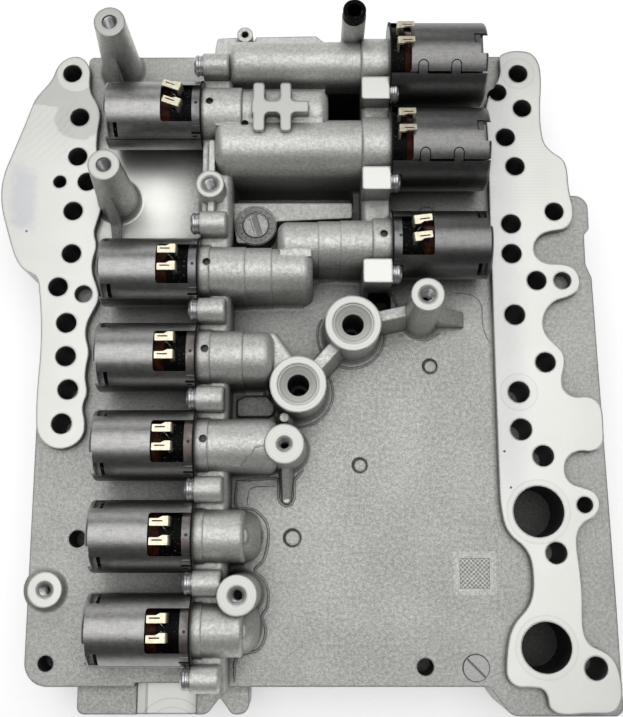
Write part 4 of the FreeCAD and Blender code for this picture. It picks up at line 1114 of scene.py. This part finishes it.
def plate_ring(material):
    """Small raised ring on the plate beside the lower right solenoid."""
    profile = [(2.45, -0.2), (2.65, 0.5), (3.05, 0.5), (3.25, -0.2)]
    ring = turned_ring(profile, plate_ring_place, "z", 40)
    piece("plate_ring", [ring], material)


def tubelet(points, radius):
    """Thin round wire along a smooth path."""
    path = smooth_path(points, 6)
    ahead = np.gradient(path, axis=0)
    ahead /= np.linalg.norm(ahead, axis=1)[:, None]
    side = np.cross(ahead, (0.13, 0.21, 0.97))
    side /= np.linalg.norm(side, axis=1)[:, None]
    over = np.cross(ahead, side)
    angle = np.linspace(0, 2 * np.pi, 6, endpoint=False)
    grid = path[:, None, :] + radius * (side[:, None, :] * np.cos(angle)[None, :, None]
                                        + over[:, None, :] * np.sin(angle)[None, :, None])
    return shell(grid, False)


# Wire ends beside the blades, as (from the face, from the axis along y, above the axis), and
# the wire's radius
WIRE_ENDS = [
    [(11.2, 2.6, 9.3), (10.2, 3.4, 10.7), (8.9, 2.4, 11.0), (8.1, 1.2, 10.2)],
    [(11.2, -2.2, 9.4), (9.9, -1.2, 10.9), (8.7, -2.0, 11.2), (8.0, -3.4, 10.1)],
    [(9.6, 0.8, 9.8), (9.0, 0.2, 10.9), (8.2, -0.2, 10.1)],
]
wire_end_radius = 0.2


def wire_ends(material):
    """Soldered ends of the winding beside the blades of each small solenoid."""
    shells = []
    for side, y in small_solenoids():
        face_x = housing_face(side)
        for line in WIRE_ENDS:
            points = [(face_x + side * u, y + v, axis_z + w) for u, v, w in line]
            shells.append(tubelet(points, wire_end_radius))
    piece("wire_ends", shells, material)


def mouth_gaps(black):
    """Dark joint between each can and the casting, as a thin ring round the can's mouth."""
    shells = []
    for side, y, size in SOLENOIDS:
        inner = CAN_RADIUS[size] - 0.3
        outer = CAN_RADIUS[size] + 0.3
        section = [(inner, -0.05), (outer, -0.05), (outer, 0.5), (inner, 0.5)]
        profile = [(radius, side * along) for radius, along in section]
        shells.append(turned_ring(profile, (housing_face(side), y, axis_z), "x", 72))
    piece("mouth_gaps", shells, black)


# Studio

# Floor: half of its side in metres, and its glow, which keeps it near white in the picture
floor_half = 8.0
floor_glow = 0.46
# Even light from all round
world_strength = 0.075
WHITE = (1.0, 1.0, 1.0, 1.0)


def floor():
    """Plain pale floor under the part."""
    half = floor_half
    mesh = bpy.data.meshes.new("floor")
    corners = [(-half, -half, 0), (half, -half, 0), (half, half, 0), (-half, half, 0)]
    mesh.from_pydata(corners, [], [(0, 1, 2, 3)])
    obj = bpy.data.objects.new("floor", mesh)
    bpy.context.collection.objects.link(obj)
    finish = Finish("floor_paper")
    place = finish.place()
    cloud = finish.noise(place, 0.01, 2.0, 0.5)
    finish.set(
        Base_Color=finish.mix(cloud, grey(0.86), grey(0.88)),
        Roughness=0.9,
        Emission_Color=WHITE,
        Emission_Strength=floor_glow,
    )
    mesh.materials.append(finish.material)


def soft_light(name, place, target, width, height, power):
    """Rectangular light aimed from its place at the target, in metres and watts."""
    data = bpy.data.lights.new(name, "AREA")
    data.shape = "RECTANGLE"
    data.size = width
    data.size_y = height
    data.energy = power
    obj = bpy.data.objects.new(name, data)
    bpy.context.collection.objects.link(obj)
    obj.location = place
    direction = [target[i] - place[i] for i in range(3)]
    length = math.sqrt(sum(part * part for part in direction))
    tilt = math.acos(-direction[2] / length)
    turn = math.atan2(direction[1], direction[0]) - math.pi / 2
    obj.rotation_euler = (tilt, 0, turn)


def studio():
    """Faint even surroundings, a large light overhead and a long one low at the back left."""
    world = bpy.data.worlds.new("studio")
    bpy.context.scene.world = world
    world.use_nodes = True
    background = world.node_tree.nodes["Background"]
    background.inputs["Color"].default_value = WHITE
    background.inputs["Strength"].default_value = world_strength
    soft_light("overhead", place=(0.0, 0.16, 1.35), target=(0.0, 0.0, 0.0),
               width=1.4, height=1.4, power=12.2)
    soft_light("back_left", place=(-0.5, 1.5, 0.75), target=(0.0, 0.0, 0.03),
               width=1.6, height=0.7, power=4.5)
    bpy.context.scene.view_settings.view_transform = "Standard"


def camera():
    """Camera of the photograph: above the part's lower middle, tilted towards its far end."""
    data = bpy.data.cameras.new("camera")
    data.sensor_fit = "HORIZONTAL"
    data.sensor_width = sensor_width
    data.lens = focal_pixels / image_width * sensor_width
    data.clip_start = 0.01
    obj = bpy.data.objects.new("camera", data)
    bpy.context.collection.objects.link(obj)
    obj.location = camera_place
    obj.rotation_euler = (camera_tilt, 0, 0)
    bpy.context.scene.camera = obj


casting = cast_aluminium()
zinc = zinc_plate("screw_zinc", 0.64)
lacquer = winding_lacquer()
steel = can_steel()
gold = contact_gold()
dress_all(casting, zinc, lacquer, steel, gold)
threads(thread_aluminium())
screw_beads(zinc)
winding_turns(lacquer)
noses(casting)
boss_collar(casting)
plate_ring(casting)
wire_ends(steel)
foot_lines(casting)
flash_line(casting)
die_lines(casting)
date_mark(casting)
black = joint_and_slot_black()
mouth_details(steel, black)
mouth_gaps(black)
floor()
studio()
camera()
